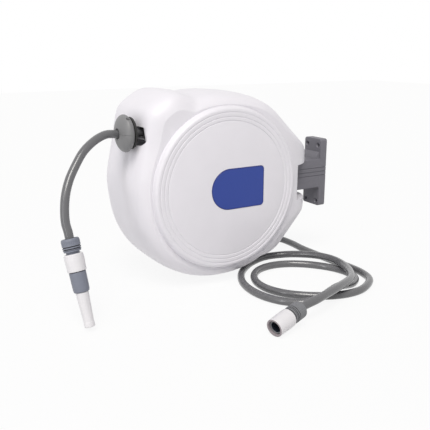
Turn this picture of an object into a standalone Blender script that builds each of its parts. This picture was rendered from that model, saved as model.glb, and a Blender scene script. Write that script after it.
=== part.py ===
"""A retractable garden hose reel that swivels on its wall bracket.

The origin is the centre of the wall plate's back face, +X goes into the wall and +Z is up. The round
front cover faces -Y and the hose leaves towards -X. Every length is in metres.
"""
import math

import bmesh
import bpy
from mathutils import Vector

# Clearances
SEAT_GAP = 0.0003            # between pieces that touch
RUN_GAP = 0.0005             # between pieces that turn or slide on each other
BORE_GAP = 0.0002            # between a shaft and the bush that turns on it

# Housing
BODY_RADIUS = 0.198          # at its fullest, on the mid plane
BODY_HALF_DEPTH = 0.092      # from the mid plane to the rear wall's outer face
SQUARENESS = 2.17            # exponent of the outline: 2 is a circle, more is squarer
BODY_DROP = 0.002            # the outline's centre lies this far under the drum's axis
WALL = 0.003
FRONT_ROUNDING = 0.0245      # how far the front edge is drawn in from the fullest radius
REAR_ROUNDING = 0.013        # the same at the rear face
LIP_WIDTH = 0.0035           # flat lip between the cover's seam and the front edge
LIP_SET_BACK = 0.0117        # the seam lies this far behind the cover's face

# Outlet hump at the upper left
HUMP_FACE_PROUD = 0.0035     # each flat side of the hump, measured out from the fullest radius
HUMP_SLOPE_PROUD = 0.038
HUMP_TOP_PROUD = 0.012
HUMP_NOTCH_PROUD = -0.0448
HUMP_FACE_ANGLE = math.radians(168.9)
HUMP_SLOPE_ANGLE = math.radians(125.4)
HUMP_TOP_ANGLE = math.radians(94.0)
HUMP_NOTCH_ANGLE = math.radians(68.0)

# Neck with the two ears round the bracket's arm
EAR_REACH = 0.049            # ear tip beyond the fullest radius
EAR_TIP_TOP = 0.0503         # heights of the ear tips over the drum's axis
EAR_TIP_BOTTOM = -0.0814
PIN_INSIDE_TIP = 0.025       # swivel pin axis inside the ear tip
EAR_BACK_SET = 0.097         # the ears' plan is half an ellipse of this length
NECK_HALF_WIDTH = 0.080
NECK_TOP_PROUD = 0.0085
NECK_BOTTOM_PROUD = 0.040
NECK_BOTTOM_BELLY = 0.098
NECK_BOTTOM_HALF_WIDTH = 0.090
HUMP_FALL = 0.06             # how fast an outermost side falls back to the barrel past its foot
NECK_TOP_FALL = 0.06
NECK_BOTTOM_FALL = 0.20
LEAST_LEAN = 0.05

# Wall bracket
PLATE_HEIGHT = 0.160
PLATE_WIDTH = 0.0586
PLATE_THICKNESS = 0.0184
PLATE_CORNER = 0.006
PIN_TO_WALL = 0.087          # swivel pin axis to the wall
ARM_HEIGHT = 0.069
ARM_RADIUS = 0.029           # the arm's end is round about the pin
ARM_CLEAR = 0.003            # from the arm's round end to the housing
UNDER_ARM_GAP = 0.0112
SLOPE_LENGTH = 0.017
SLOPE_HEIGHT = 0.0155
BRACKET_GROOVES = (0.0134, 0.0040, -0.0050)
GROOVE_WIDTH = 0.0013
GROOVE_DEPTH = 0.0010
WALL_SCREW_HOLE_RADIUS = 0.0030
WALL_SCREW_HEAD_RADIUS = 0.0058
WALL_SCREW_HEAD_DEPTH = 0.0035
WALL_SCREW_SPACING = 0.038
WALL_SCREW_FROM_TOP = 0.0150
WALL_SCREW_FROM_BOTTOM = 0.0110
AXIS_ABOVE_ARM = 0.006       # drum axis over the arm's middle

# Swivel pin
PIN_RADIUS = 0.006
PIN_HEAD_RADIUS = 0.009
PIN_HEAD_HEIGHT = 0.004
PIN_IN_UPPER_EAR = 0.0125
PIN_IN_LOWER_EAR = 0.018
BUSH_WALL = 0.002
BUSH_LENGTH = 0.016
BUSH_FLANGE_RADIUS = 0.0115
BUSH_FLANGE = 0.0015
CLIP_HEIGHT = 0.0014

# Hose and its fittings
HOSE_RADIUS = 0.008
NUT_RADIUS = 0.0165
SLEEVE_RADIUS = 0.0175
SLEEVE_TRAVEL = 0.004
SPIGOT_RADIUS = 0.0120       # connector body under its sliding collar
CONNECTOR_BORE = 0.0085
CONNECTOR_COLLAR_RADIUS = 0.0155
CONNECTOR_COLLAR = 0.003
NOZZLE_BODY_RADIUS = 0.0150
NOZZLE_BODY_LENGTH = 0.037
NOZZLE_TIP_RADIUS = 0.0115
NOZZLE_END_RADIUS = 0.0092
NOZZLE_TIP_LENGTH = 0.064
NOZZLE_BORE = 0.0042

# Drum and winding
POST_INSET = 0.0165          # screw posts inside the cover's seam
POST_RADIUS = 0.005
FLANGE_CLEAR = 0.013         # drum flange inside the posts
FLANGE_LIP = 0.0213          # flange beyond the full winding
FLANGE_THICKNESS = 0.0027
DRUM_SIDE_CLEAR = 0.0205     # from each face of the housing to the winding
DRUM_WALL = 0.0032
WOUND_LAYERS = 4
LAYER_PITCH_SHARE = 0.875    # a layer sinks into the one below it

# Axle, spring and ratchet
AXLE_RADIUS = 0.010
AXLE_BORE = 0.0055
AXLE_PAST_WALL = 0.008
HUB_BOSS_RADIUS = 0.022
HUB_BOSS_DEPTH = 0.009
BUSH_RADIUS = 0.0132
SPRING_TURNS = 7
SPRING_THICKNESS = 0.0008
SPRING_WIDTH = 0.030
SPRING_SET_BACK = 0.0115     # spring behind the front edge of the core
ARBOR_WALL = 0.0040
RATCHET_RADIUS = 0.060
RATCHET_TEETH = 18
TOOTH_DEPTH = 0.004
RATCHET_WIDTH = 0.0052
RATCHET_BORE = 0.044
PAWL_PIVOT_RADIUS = 0.085
PAWL_PIVOT_ANGLE = math.radians(-60.0)
PAWL_LIFT = math.radians(16.0)
PAWL_PIN_RADIUS = 0.0025
PAWL_PIN_HEAD = 0.0008
PAWL_SPRING_WIRE = 0.0012
PAWL_TIP_INSIDE = 0.0006
PAWL_TIP_OUTSIDE = 0.0012
PAWL_BEHIND_FLANGE = 0.0020
RATCHET_PHASE = math.radians(5.0)   # brings a valley under the engaged pawl

# Front cover
COVER_GAP = 0.0005
COVER_FACE_INSET = 0.0085    # flat face inside the seam radius
COVER_WALL = 0.003
RING_GROOVE_INSETS = (0.0045, 0.0135, 0.0215)   # inside the edge of the flat face
RING_GROOVE_WIDTH = 0.0016
RING_GROOVE_DEPTH = 0.0008
POST_ANGLES = (105, 45, -15, -75, -135, 165)
SCREW_RADIUS = 0.0019
PILOT_CLEAR = 0.0003          # round a screw's shank in its post
SCREW_HOLE_CLEAR = 0.0004     # round a screw's shank or head in a plain hole
SCREW_LENGTH = 0.016
SCREW_HEAD_RADIUS = 0.004
SCREW_HEAD_HEIGHT = 0.003
BADGE_RADIUS = 0.0427
BADGE_LENGTH = 0.0844        # from the drum's axis to the right edge
BADGE_CORNER = 0.008
BADGE_THICKNESS = 0.002
BADGE_PROUD = 0.0005

# Outlet slot, hose guide and stopper
SLOT_HALF_LENGTH = 0.068
SLOT_HEIGHT = 0.036
SLOT_DROP = 0.0055           # slot's middle under the hose's lane
LANE_Y = -0.033
RAIL_RADIUS = 0.003
RAIL_SPACING = 0.041
RAIL_SHARE = 0.7200          # distance of the rails from the drum axis, as a share of the radius
CARRIAGE_LENGTH = 0.014
CARRIAGE_HEIGHT = 0.052
CARRIAGE_WIDTH = 0.030
EYE_RADIUS = 0.015
EYE_BORE_CLEAR = 0.0013
EYE_REACH = 0.012
ROLLER_RADIUS = 0.006
ROLLER_SIDE_CLEAR = 0.0006
ROLLER_PIN_RADIUS = 0.002
ROLLER_X = 0.016             # rollers behind the rails
STOPPER_RADIUS = 0.036
STOPPER_FRONT = 0.0155
STOPPER_BACK = 0.0095
BUMPER_RADIUS = 0.031

# Inlet elbow
ELBOW_RADIUS = 0.0085
ELBOW_HUB_RADIUS = 0.0135
ELBOW_DIRECTION = math.radians(-48.0)
ELBOW_LENGTH = 0.036
ELBOW_PAST_AXLE = 0.012      # the elbow's middle behind the end of the axle

FINE_STEPS = 56
ROUND_STEPS = 32
MIDDLE_STEPS = 20
SMALL_STEPS = 14
TINY_STEPS = 10
CORNER_STEPS = 4
SHARP_ANGLE = math.radians(32.0)

# Sizes that follow
LAYER_PITCH = 2 * HOSE_RADIUS * LAYER_PITCH_SHARE
DRUM_HALF_WIDTH = BODY_HALF_DEPTH - DRUM_SIDE_CLEAR
SPRING_FRONT = SPRING_SET_BACK - DRUM_HALF_WIDTH
SEAM_RADIUS = BODY_RADIUS - FRONT_ROUNDING - LIP_WIDTH
COVER_FACE_Y = -BODY_HALF_DEPTH
SEAM_Y = COVER_FACE_Y + LIP_SET_BACK
REAR_INNER_Y = BODY_HALF_DEPTH - WALL
EAR_TIP_X = BODY_RADIUS + EAR_REACH
PIN_X = EAR_TIP_X - PIN_INSIDE_TIP
RECESS_X = PIN_X - ARM_RADIUS - ARM_CLEAR
ARM_TOP = ARM_HEIGHT / 2 - AXIS_ABOVE_ARM
ARM_BOTTOM = -ARM_HEIGHT / 2 - AXIS_ABOVE_ARM
RECESS_TOP = ARM_TOP + RUN_GAP
RECESS_BOTTOM = ARM_BOTTOM - UNDER_ARM_GAP
REEL_AXIS = Vector((-(PIN_TO_WALL + PIN_X), 0.0, AXIS_ABOVE_ARM))
COVER_RADIUS = SEAM_RADIUS - COVER_GAP
POST_CIRCLE = SEAM_RADIUS - POST_INSET - COVER_GAP
FLANGE_RADIUS = POST_CIRCLE - POST_RADIUS - FLANGE_CLEAR
WOUND_RADIUS = FLANGE_RADIUS - FLANGE_LIP
CORE_RADIUS = WOUND_RADIUS - (WOUND_LAYERS - 1) * LAYER_PITCH - 2 * HOSE_RADIUS - SEAT_GAP
CORE_INNER = CORE_RADIUS - DRUM_WALL
LANE_Z = WOUND_RADIUS + HOSE_RADIUS + SEAT_GAP
RAIL_X = -RAIL_SHARE * BODY_RADIUS

# Sizes used inside
BUMPER_THICKNESS = 0.005
ELBOW_Y = BODY_HALF_DEPTH + AXLE_PAST_WALL + ELBOW_PAST_AXLE
CLAMP_FROM_END = 0.003
CLAMP_WIDTH = 0.008
CORE_HUB_LENGTH = 0.024
SPRING_COVER_THICKNESS = 0.003
SPRING_COVER_LAP = 0.010      # cover beyond the core's inner wall
SPRING_COVER_RADIUS = CORE_INNER + SPRING_COVER_LAP
SWIVEL_RADIUS = 0.0075
SWIVEL_Y = 0.012
SWIVEL_HALF = 0.011
ARBOR_GAP = 0.0006
SEAL_RADIUS = 0.0013
PAWL_HUB_RADIUS = 0.0055
PAWL_TIP_LEAD = math.radians(24.0)
CONNECTOR_SOCKET = 0.016
NOZZLE_STUB = 0.006
CURVE_STEPS = 24
TUBE_STEP = 2.0              # hose diameters from one point of a hose to the next

# Small sizes of single pieces
FRONT_RING_SHARES = (1.0, 0.95, 0.88, 0.76, 0.55, 0.30)          # rings of the housing, from seam to mid plane
REAR_RING_SHARES = (0.0, 0.25, 0.45, 0.63, 0.80, 0.91, 0.97, 1.0)
SLOT_CUT_REACH = 0.015
CUT_SPARE = 0.010            # how far a cutter runs past what it cuts
PIN_WELL_CLEAR = 0.0015
PIN_WELL_SHARE = 0.2
PIN_TIP_EDGE = 0.001
CLIP_PAST_HEAD = 0.0012
COVER_RIM_DEPTH = 0.0023
COVER_EDGE = ((0.0025, 0.0006), (0.0050, 0.0030), (0.0070, 0.0075))
COVER_EDGE_DEPTH = 0.0102
COVER_EDGE_STEP = 0.0015
COVER_INNER_STEP = 0.0020
COVER_INNER_DROP = 0.0048
AXLE_SOCKET_FLOOR = 0.002
PILOT_SPARE = 0.002
BADGE_EDGE = 0.0006
BRACKET_EDGE = 0.0012
SLOPE_SUNK = 0.003
EYE_EDGE = 0.002
ROLLER_PAST_HOSE = 0.004
ROLLER_PIN_HEAD = 0.0012
ROLLER_EDGE = 0.001
ROLLER_WAIST = 0.0006
LUG_THICKNESS = 0.004
BUMPER_EDGE = 0.002
STOPPER_STEPS = 12
STOPPER_SCREW_HEAD = 0.003
STOPPER_SCREW_HEAD_HEIGHT = 0.0025
STOPPER_SCREW_RADIUS = 0.0015
FLANGE_RIM_HEIGHT = 0.001
FLANGE_RIM_WIDTH = 0.003
SPRING_COVER_PROUD = 0.0025
SPRING_EDGE_CLEAR = 0.001
SEAL_STEPS = 8
PORT_RADIUS = AXLE_BORE * 0.8
ELBOW_FOOT = 0.003
ELBOW_FOOT_REACH = 0.006
ELBOW_CAP = 0.002
CLAMP_THICKNESS = 0.0012
CLAMP_BARREL_RADIUS = 0.0028
CLAMP_BARREL_HALF = 0.006
NUT_SHOULDER = 0.0035
SOCKET_STEP = 0.0012
SLEEVE_EDGE = 0.0012
NOZZLE_EDGE = 0.001
NOZZLE_STUB_STEP = 0.0025
NOZZLE_RING_LENGTH = 0.010
NOZZLE_RING_PROUD = 0.0004
WASHER_THICKNESS = 0.0022

# Hose routes: points along each hose's run, measured from the drum's axis on the mid plane
DRAWN_FOR_RADIUS = 0.198     # the housing, neck and hose that the routes were drawn round
DRAWN_FOR_DEPTH = 0.092
DRAWN_FOR_EARS = 0.049
DRAWN_FOR_EAR_BOTTOM = -0.0814
DRAWN_FOR_FALL = 0.20
DRAWN_FOR_HOSE = 0.008
OUTLET_END = (-0.3474, -0.1157, -0.0463)
OUTLET_DIRECTION = Vector((0.082, -0.273, -0.959))
OUTLET_NUT = 0.0170
OUTLET_SLEEVE = 0.0317
OUTLET_ROUTE = [(-0.2390, -0.0360, 0.1232), (-0.2550, -0.0410, 0.1196), (-0.2740, -0.0480, 0.1110),
                (-0.2950, -0.0570, 0.0965), (-0.3140, -0.0680, 0.0755), (-0.3310, -0.0795, 0.0525),
                (-0.3425, -0.0900, 0.0280), (-0.3488, -0.0995, 0.0020), (-0.3502, -0.1060, -0.0190)]

INLET_END = (-0.0016, -0.3304, -0.1755)
INLET_DIRECTION = Vector((-0.946, -0.249, -0.179))
INLET_NUT = 0.0230
INLET_SLEEVE = 0.0420
INLET_ROUTE = [(0.0590, 0.1130, -0.0660), (0.1040, 0.1180, -0.1160), (0.1490, 0.1270, -0.1620),
               (0.1940, 0.1360, -0.1910), (0.2390, 0.1290, -0.1980), (0.2690, 0.0960, -0.1980),
               (0.2740, 0.0460, -0.1980), (0.2700, -0.0020, -0.1980), (0.2705, -0.0550, -0.1980),
               (0.2730, -0.1100, -0.1980), (0.2765, -0.1600, -0.1980), (0.2750, -0.2030, -0.1980),
               (0.2610, -0.2400, -0.1980), (0.2310, -0.2640, -0.1980), (0.1970, -0.2775, -0.1980),
               (0.1640, -0.2785, -0.1980), (0.1340, -0.2710, -0.1980), (0.1040, -0.2560, -0.1980),
               (0.0760, -0.2340, -0.1980), (0.0530, -0.2050, -0.1980), (0.0410, -0.1700, -0.1980),
               (0.0440, -0.1300, -0.1980), (0.0620, -0.0950, -0.1980), (0.0920, -0.0710, -0.1980),
               (0.1290, -0.0630, -0.1980), (0.1640, -0.0700, -0.1980), (0.1940, -0.0880, -0.1980),
               (0.2200, -0.1150, -0.1980), (0.2410, -0.1500, -0.1980), (0.2480, -0.1870, -0.1980),
               (0.2390, -0.2200, -0.1980), (0.2110, -0.2430, -0.1965), (0.1790, -0.2570, -0.1895),
               (0.1450, -0.2700, -0.1812), (0.1190, -0.2790, -0.1812), (0.0890, -0.2830, -0.1880),
               (0.0580, -0.2720, -0.1960), (0.0320, -0.2460, -0.1980), (0.0130, -0.2080, -0.1980),
               (0.0080, -0.1660, -0.1980), (0.0160, -0.1220, -0.1980), (0.0380, -0.0800, -0.1980),
               (0.0690, -0.0470, -0.1980), (0.1060, -0.0250, -0.1960), (0.1477, -0.0180, -0.1930),
               (0.1908, -0.0370, -0.1890), (0.2134, -0.0650, -0.1845), (0.2357, -0.1000, -0.1815),
               (0.2473, -0.1390, -0.1810), (0.2384, -0.1890, -0.1805), (0.1923, -0.2560, -0.1750),
               (0.1264, -0.2950, -0.1680), (0.0836, -0.3120, -0.1668), (0.0418, -0.3245, -0.1685)]

# The routes are drawn larger where the housing, its neck or the hose is larger than they were drawn for
SPREAD = max(1.0, BODY_RADIUS / DRAWN_FOR_RADIUS, BODY_HALF_DEPTH / DRAWN_FOR_DEPTH,
             EAR_REACH / DRAWN_FOR_EARS, EAR_TIP_BOTTOM / DRAWN_FOR_EAR_BOTTOM,
             DRAWN_FOR_FALL / NECK_BOTTOM_FALL, HOSE_RADIUS / DRAWN_FOR_HOSE)


def material(name, colour, roughness, metallic=0.0):
    made = bpy.data.materials.new(name)
    made.use_nodes = True
    shader = made.node_tree.nodes["Principled BSDF"]
    shader.inputs["Base Color"].default_value = (*colour, 1.0)
    shader.inputs["Roughness"].default_value = roughness
    shader.inputs["Metallic"].default_value = metallic
    made.diffuse_color = (*colour, 1.0)
    return made


def empty(name, place, parent=None):
    made = bpy.data.objects.new(name, None)
    made.location = place
    made.parent = parent
    bpy.context.collection.objects.link(made)
    return made


def add(name, bm, finish, parent=None, place=(0, 0, 0), direction=None):
    """Turns a bmesh into a named, shaded object; direction is where its local +Z points."""
    bmesh.ops.remove_doubles(bm, verts=bm.verts, dist=1e-6)
    bmesh.ops.recalc_face_normals(bm, faces=bm.faces)
    mesh = bpy.data.meshes.new(name)
    bm.to_mesh(mesh)
    bm.free()
    mesh.shade_smooth()
    mesh.set_sharp_from_angle(angle=SHARP_ANGLE)
    made = bpy.data.objects.new(name, mesh)
    made.location = place
    made.parent = parent
    if direction is not None:
        made.rotation_euler = Vector(direction).to_track_quat("Z", "Y").to_euler()
    if finish is not None:
        mesh.materials.append(finish)
    bpy.context.collection.objects.link(made)
    return made


def tool(name, bm, parent=None, place=(0, 0, 0)):
    """A cutter or an added shape: it stays in the file as a wire guide."""
    made = add(name, bm, None, parent, place)
    made.hide_render = True
    made.display_type = "WIRE"
    return made


def combine(target, other, operation):
    step = target.modifiers.new(other.name, "BOOLEAN")
    step.operation = operation
    step.solver = "EXACT"
    step.object = other


def cut(target, *cutters):
    for cutter in cutters:
        combine(target, cutter, "DIFFERENCE")


def axis_point(axis, radius, along, angle):
    c = radius * math.cos(angle)
    s = radius * math.sin(angle)
    return {"X": (along, c, s), "Y": (c, along, s), "Z": (c, s, along)}[axis]


def turned(profile, axis="Y", steps=ROUND_STEPS, start=0.0, sweep=math.tau, bm=None, centre=(0, 0, 0)):
    """Turns a closed outline of (radius, along) points about an axis, all the way or part of it."""
    bm = bm or bmesh.new()
    whole = sweep >= math.tau - 1e-6
    count = steps if whole else steps + 1
    middle = Vector(centre)
    rings = []
    for i in range(count):
        angle = start + sweep * i / steps
        rings.append([bm.verts.new(middle + Vector(axis_point(axis, r, h, angle))) for r, h in profile])
    size = len(profile)
    for i in range(count if whole else count - 1):
        ring, following = rings[i], rings[(i + 1) % count]
        for j in range(size):
            k = (j + 1) % size
            if profile[j][0] < 1e-9 and profile[k][0] < 1e-9:
                continue
            if profile[j][0] < 1e-9:
                bm.faces.new((ring[j], ring[k], following[k]))
            elif profile[k][0] < 1e-9:
                bm.faces.new((ring[j], ring[k], following[j]))
            else:
                bm.faces.new((ring[j], ring[k], following[k], following[j]))
    if not whole:
        bm.faces.new(rings[0])
        bm.faces.new(rings[-1])
    return bm


def rod(radius, low, high, axis="Y", steps=SMALL_STEPS, bm=None, centre=(0, 0, 0)):
    return turned([(0, low), (radius, low), (radius, high), (0, high)], axis, steps, bm=bm, centre=centre)


def pipe(outer, inner, low, high, axis="Y", steps=ROUND_STEPS, bm=None, centre=(0, 0, 0)):
    outline = [(inner, low), (outer, low), (outer, high), (inner, high)]
    return turned(outline, axis, steps, bm=bm, centre=centre)


def loft(rings, bm=None):
    """Joins rings of points, all with the same count, and closes both ends."""
    bm = bm or bmesh.new()
    made = [[bm.verts.new(p) for p in ring] for ring in rings]
    for ring, following in zip(made, made[1:]):
        for i in range(len(ring)):
            j = (i + 1) % len(ring)
            bm.faces.new((ring[i], ring[j], following[j], following[i]))
    bm.faces.new(made[0])
    bm.faces.new(made[-1])
    return bm


def ring_loft(rings, bm=None):
    """Joins rings of points and the last ring to the first, as round a doughnut."""
    bm = bm or bmesh.new()
    made = [[bm.verts.new(p) for p in ring] for ring in rings]
    for ring, following in zip(made, made[1:] + made[:1]):
        for i in range(len(ring)):
            j = (i + 1) % len(ring)
            bm.faces.new((ring[i], ring[j], following[j], following[i]))
    return bm


def box(low, high, bm=None):
    x0, y0, z0 = low
    x1, y1, z1 = high
    return loft([[(x0, y0, z), (x1, y0, z), (x1, y1, z), (x0, y1, z)] for z in (z0, z1)], bm)


def arc(cx, cy, radius, start, end, steps):
    return [(cx + radius * math.cos(start + (end - start) * i / steps),
             cy + radius * math.sin(start + (end - start) * i / steps)) for i in range(steps + 1)]


def rounded_rectangle(half_width, half_height, corner, steps=CORNER_STEPS):
    w, h, q = half_width - corner, half_height - corner, math.pi / 2
    return (arc(w, h, corner, 0, q, steps) + arc(-w, h, corner, q, 2 * q, steps)
            + arc(-w, -h, corner, 2 * q, 3 * q, steps) + arc(w, -h, corner, 3 * q, 4 * q, steps))


def smooth_largest(values, power=48):
    top = max(values)
    return top * sum((max(v, 0.0) / top) ** power for v in values) ** (1 / power)


def smooth_least(values, power=48):
    low = min(values)
    return low * sum((low / v) ** power for v in values) ** (-1 / power)


def flat_side(distance, facing, angle):
    """Radius at which a flat side, at a distance from the axis, is met along an angle."""
    return distance / max(LEAST_LEAN, math.cos(angle - facing))


def last_side(distance, facing, angle, way, fall):
    """A flat side that falls back towards the axis past its foot, to the left (1) or the right (-1)."""
    turn = (angle - facing + math.pi) % math.tau - math.pi
    if turn * way > 0:
        return max(distance - fall * turn ** 2, LEAST_LEAN * distance)
    return flat_side(distance, facing, angle)


def rounding(y):
    """How far the housing's outline is drawn in from its fullest, from front to rear."""
    if y < 0:
        t = min(1.0, -y / (-SEAM_Y))
        return FRONT_ROUNDING * (0.45 * t ** 2 + 0.55 * t ** 9)
    t = min(1.0, y / BODY_HALF_DEPTH)
    return REAR_ROUNDING * (0.15 * t ** 2 + 0.85 * t ** 14)


def barrel_radius(angle, y):
    c = abs(math.cos(angle)) ** SQUARENESS
    s = abs(math.sin(angle)) ** SQUARENESS
    centred = BODY_RADIUS * (c + s) ** (-1 / SQUARENESS)
    return centred - BODY_DROP * math.sin(angle) - rounding(y)


def hump_radius(angle, y):
    full = BODY_RADIUS - rounding(y)
    return smooth_least([last_side(full + HUMP_FACE_PROUD, HUMP_FACE_ANGLE, angle, 1, HUMP_FALL),
                         flat_side(full + HUMP_SLOPE_PROUD, HUMP_SLOPE_ANGLE, angle),
                         flat_side(full + HUMP_TOP_PROUD, HUMP_TOP_ANGLE, angle),
                         last_side(full + HUMP_NOTCH_PROUD, HUMP_NOTCH_ANGLE, angle, -1, HUMP_FALL)])


def half_ellipse(half_width, y):
    return math.sqrt(max(0.0, 1 - (y / half_width) ** 2))


def corner_facing(reach, height, distance):
    """Facing of the flat side through a corner, at a distance from the axis."""
    away = math.hypot(reach, height)
    return math.atan2(height, reach) + math.copysign(math.acos(min(1.0, distance / away)), height)


def neck_radius(angle, y):
    top = BODY_RADIUS + NECK_TOP_PROUD
    bottom = BODY_RADIUS + NECK_BOTTOM_PROUD
    top_facing = corner_facing(EAR_TIP_X, EAR_TIP_TOP, top)
    bottom_facing = corner_facing(EAR_TIP_X, EAR_TIP_BOTTOM, bottom)
    belly = bottom - NECK_BOTTOM_BELLY + NECK_BOTTOM_BELLY * half_ellipse(NECK_BOTTOM_HALF_WIDTH, y)
    end = EAR_TIP_X - EAR_BACK_SET + EAR_BACK_SET * half_ellipse(NECK_HALF_WIDTH, y)
    return smooth_least([last_side(top - rounding(y), top_facing, angle, 1, NECK_TOP_FALL),
                         last_side(belly, bottom_facing, angle, -1, NECK_BOTTOM_FALL),
                         flat_side(end, 0.0, angle)], power=90)


def housing_radius(angle, y):
    return smooth_largest([barrel_radius(angle, y), hump_radius(angle, y), neck_radius(angle, y)], power=60)


def cavity_radius(angle, y):
    open_space = smooth_largest([barrel_radius(angle, y), hump_radius(angle, y)], power=60) - WALL
    return smooth_least([open_space, flat_side(RECESS_X - WALL, 0.0, angle)], power=90)


def angles(steps):
    return [math.tau * i / steps for i in range(steps)]


def wall_angles():
    """Even steps round the housing, with two more at the tips of the ears."""
    tips = [math.atan2(height, EAR_TIP_X) % math.tau for height in (EAR_TIP_TOP, EAR_TIP_BOTTOM)]
    return sorted(angles(FINE_STEPS) + tips)


def wall_ring(radius_at, y):
    return [(radius_at(a, y) * math.cos(a), y, radius_at(a, y) * math.sin(a)) for a in wall_angles()]


def circle_ring(radius, y):
    return wall_ring(lambda angle, along: radius, y)


def face_x(y, z):
    """Where the hump's front face lies along X."""
    reach = BODY_RADIUS + HUMP_FACE_PROUD - rounding(y)
    return (reach - z * math.sin(HUMP_FACE_ANGLE)) / math.cos(HUMP_FACE_ANGLE)


def polar(radius, angle):
    return radius * math.cos(angle), radius * math.sin(angle)


def build_housing_shell(parent, finish):
    depth = BODY_HALF_DEPTH
    lip_back = SEAM_Y + WALL
    outer_steps = [SEAM_Y * share for share in FRONT_RING_SHARES]
    outer_steps += [depth * share for share in REAR_RING_SHARES]
    inner_steps = [REAR_INNER_Y, REAR_INNER_Y * 0.88, 0.0, lip_back * 0.65, lip_back]
    hub = AXLE_RADIUS + BUSH_WALL + RUN_GAP
    rings = [circle_ring(SEAM_RADIUS, lip_back), circle_ring(SEAM_RADIUS, SEAM_Y)]
    rings += [wall_ring(housing_radius, y) for y in outer_steps]
    rings += [circle_ring(hub, depth), circle_ring(hub, REAR_INNER_Y)]
    rings += [wall_ring(cavity_radius, y) for y in inner_steps]
    shell = add("housing_shell", ring_loft(rings), finish, parent)

    slot_middle = LANE_Z - SLOT_DROP
    half_height = SLOT_HEIGHT / 2
    outline = rounded_rectangle(SLOT_HALF_LENGTH, half_height, half_height - RUN_GAP)
    face = face_x(0, slot_middle - half_height)
    through = (face - SLOT_CUT_REACH, face + SLOT_CUT_REACH)
    slot = loft([[(x, y, slot_middle + z) for y, z in outline] for x in through])
    cut(shell, tool("slot_cutter", slot, parent))

    low = (RECESS_X, -BODY_RADIUS, RECESS_BOTTOM)
    high = (EAR_TIP_X + ARM_RADIUS, BODY_RADIUS, RECESS_TOP)
    cut(shell, tool("recess_cutter", box(low, high), parent))
    cut(shell, tool("pin_hole_cutter", pin_hole(), parent))

    holes = bmesh.new()
    for degrees in POST_ANGLES:
        x, z = polar(POST_CIRCLE, math.radians(degrees))
        rod(SCREW_RADIUS + SCREW_HOLE_CLEAR, REAR_INNER_Y - WALL / 2, depth + WALL, bm=holes, centre=(x, 0, z))
    cut(shell, tool("screw_hole_cutter", holes, parent))
    return shell


def pin_hole():
    """The bore of the swivel pin, with a wider well for its head from below."""
    well = PIN_HEAD_RADIUS + PIN_WELL_CLEAR
    bore = PIN_RADIUS + SEAT_GAP
    seat = RECESS_BOTTOM - PIN_IN_LOWER_EAR
    bottom = seat - PIN_WELL_SHARE * BODY_RADIUS
    top = RECESS_TOP + PIN_IN_UPPER_EAR + RUN_GAP
    outline = [(0, bottom), (well, bottom), (well, seat), (bore, seat), (bore, top), (0, top)]
    return turned(outline, "Z", ROUND_STEPS, centre=(PIN_X, 0, 0))


def build_front_cover(parent, finish):
    face = COVER_FACE_Y
    rim = SEAM_RADIUS - COVER_FACE_INSET
    back = SEAM_Y + COVER_RIM_DEPTH
    inner_face = face + COVER_WALL
    boss_back = inner_face + HUB_BOSS_DEPTH
    axle = AXLE_RADIUS + SEAT_GAP
    outline = [(0, face)]
    for inset in reversed(RING_GROOVE_INSETS):
        radius = rim - inset
        near = radius - RING_GROOVE_WIDTH / 2
        outline += [(near, face), (radius, face + RING_GROOVE_DEPTH), (near + RING_GROOVE_WIDTH, face)]
    outline += [(rim, face)]
    outline += [(rim + out, face + down) for out, down in COVER_EDGE]
    outline += [(COVER_RADIUS, face + COVER_EDGE_DEPTH), (COVER_RADIUS, back)]
    outline += [(COVER_RADIUS - COVER_WALL, back)]
    outline += [(COVER_RADIUS - COVER_WALL - COVER_INNER_STEP, inner_face + COVER_INNER_DROP)]
    outline += [(rim - COVER_EDGE_STEP, inner_face), (HUB_BOSS_RADIUS, inner_face)]
    outline += [(HUB_BOSS_RADIUS, boss_back)]
    outline += [(axle, boss_back), (axle, inner_face + AXLE_SOCKET_FLOOR), (0, inner_face + AXLE_SOCKET_FLOOR)]
    cover = add("front_cover", turned(outline, steps=FINE_STEPS), finish, parent)

    posts = bmesh.new()
    cuts = bmesh.new()
    for degrees in POST_ANGLES:
        x, z = polar(POST_CIRCLE, math.radians(degrees))
        foot = inner_face - COVER_WALL / 2
        rod(POST_RADIUS, foot, REAR_INNER_Y - SEAT_GAP, steps=TINY_STEPS, bm=posts, centre=(x, 0, z))
        pilot = REAR_INNER_Y - SCREW_LENGTH - PILOT_SPARE
        rod(SCREW_RADIUS + PILOT_CLEAR, pilot, BODY_HALF_DEPTH, steps=TINY_STEPS, bm=cuts, centre=(x, 0, z))
    combine(cover, tool("post_shape", posts, parent), "UNION")
    pocket = badge_outline(SEAT_GAP)
    floor = face + BADGE_THICKNESS - BADGE_PROUD + SEAT_GAP
    loft([[(x, y, z) for x, z in pocket] for y in (face - BADGE_THICKNESS, floor)], cuts)
    cut(cover, tool("cover_cutter", cuts, parent))
    return cover


def badge_outline(grow):
    """A round left end about the drum's axis and a squared right end with round corners."""
    radius = BADGE_RADIUS + grow
    corner = BADGE_CORNER + grow
    quarter = math.pi / 2
    right = BADGE_LENGTH + grow - corner
    left_end = arc(0, 0, radius, quarter, 3 * quarter, SMALL_STEPS)
    lower_corner = arc(right, -radius + corner, corner, 3 * quarter, 4 * quarter, CORNER_STEPS)
    upper_corner = arc(right, radius - corner, corner, 0, quarter, CORNER_STEPS)
    return left_end + lower_corner + upper_corner


def build_badge(parent, finish):
    front = COVER_FACE_Y - BADGE_PROUD
    rings = [[(x, front, z) for x, z in badge_outline(-BADGE_EDGE)],
             [(x, front + BADGE_EDGE, z) for x, z in badge_outline(0)],
             [(x, front + BADGE_THICKNESS, z) for x, z in badge_outline(0)]]
    return add("badge_plate", loft(rings), finish, parent)


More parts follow.
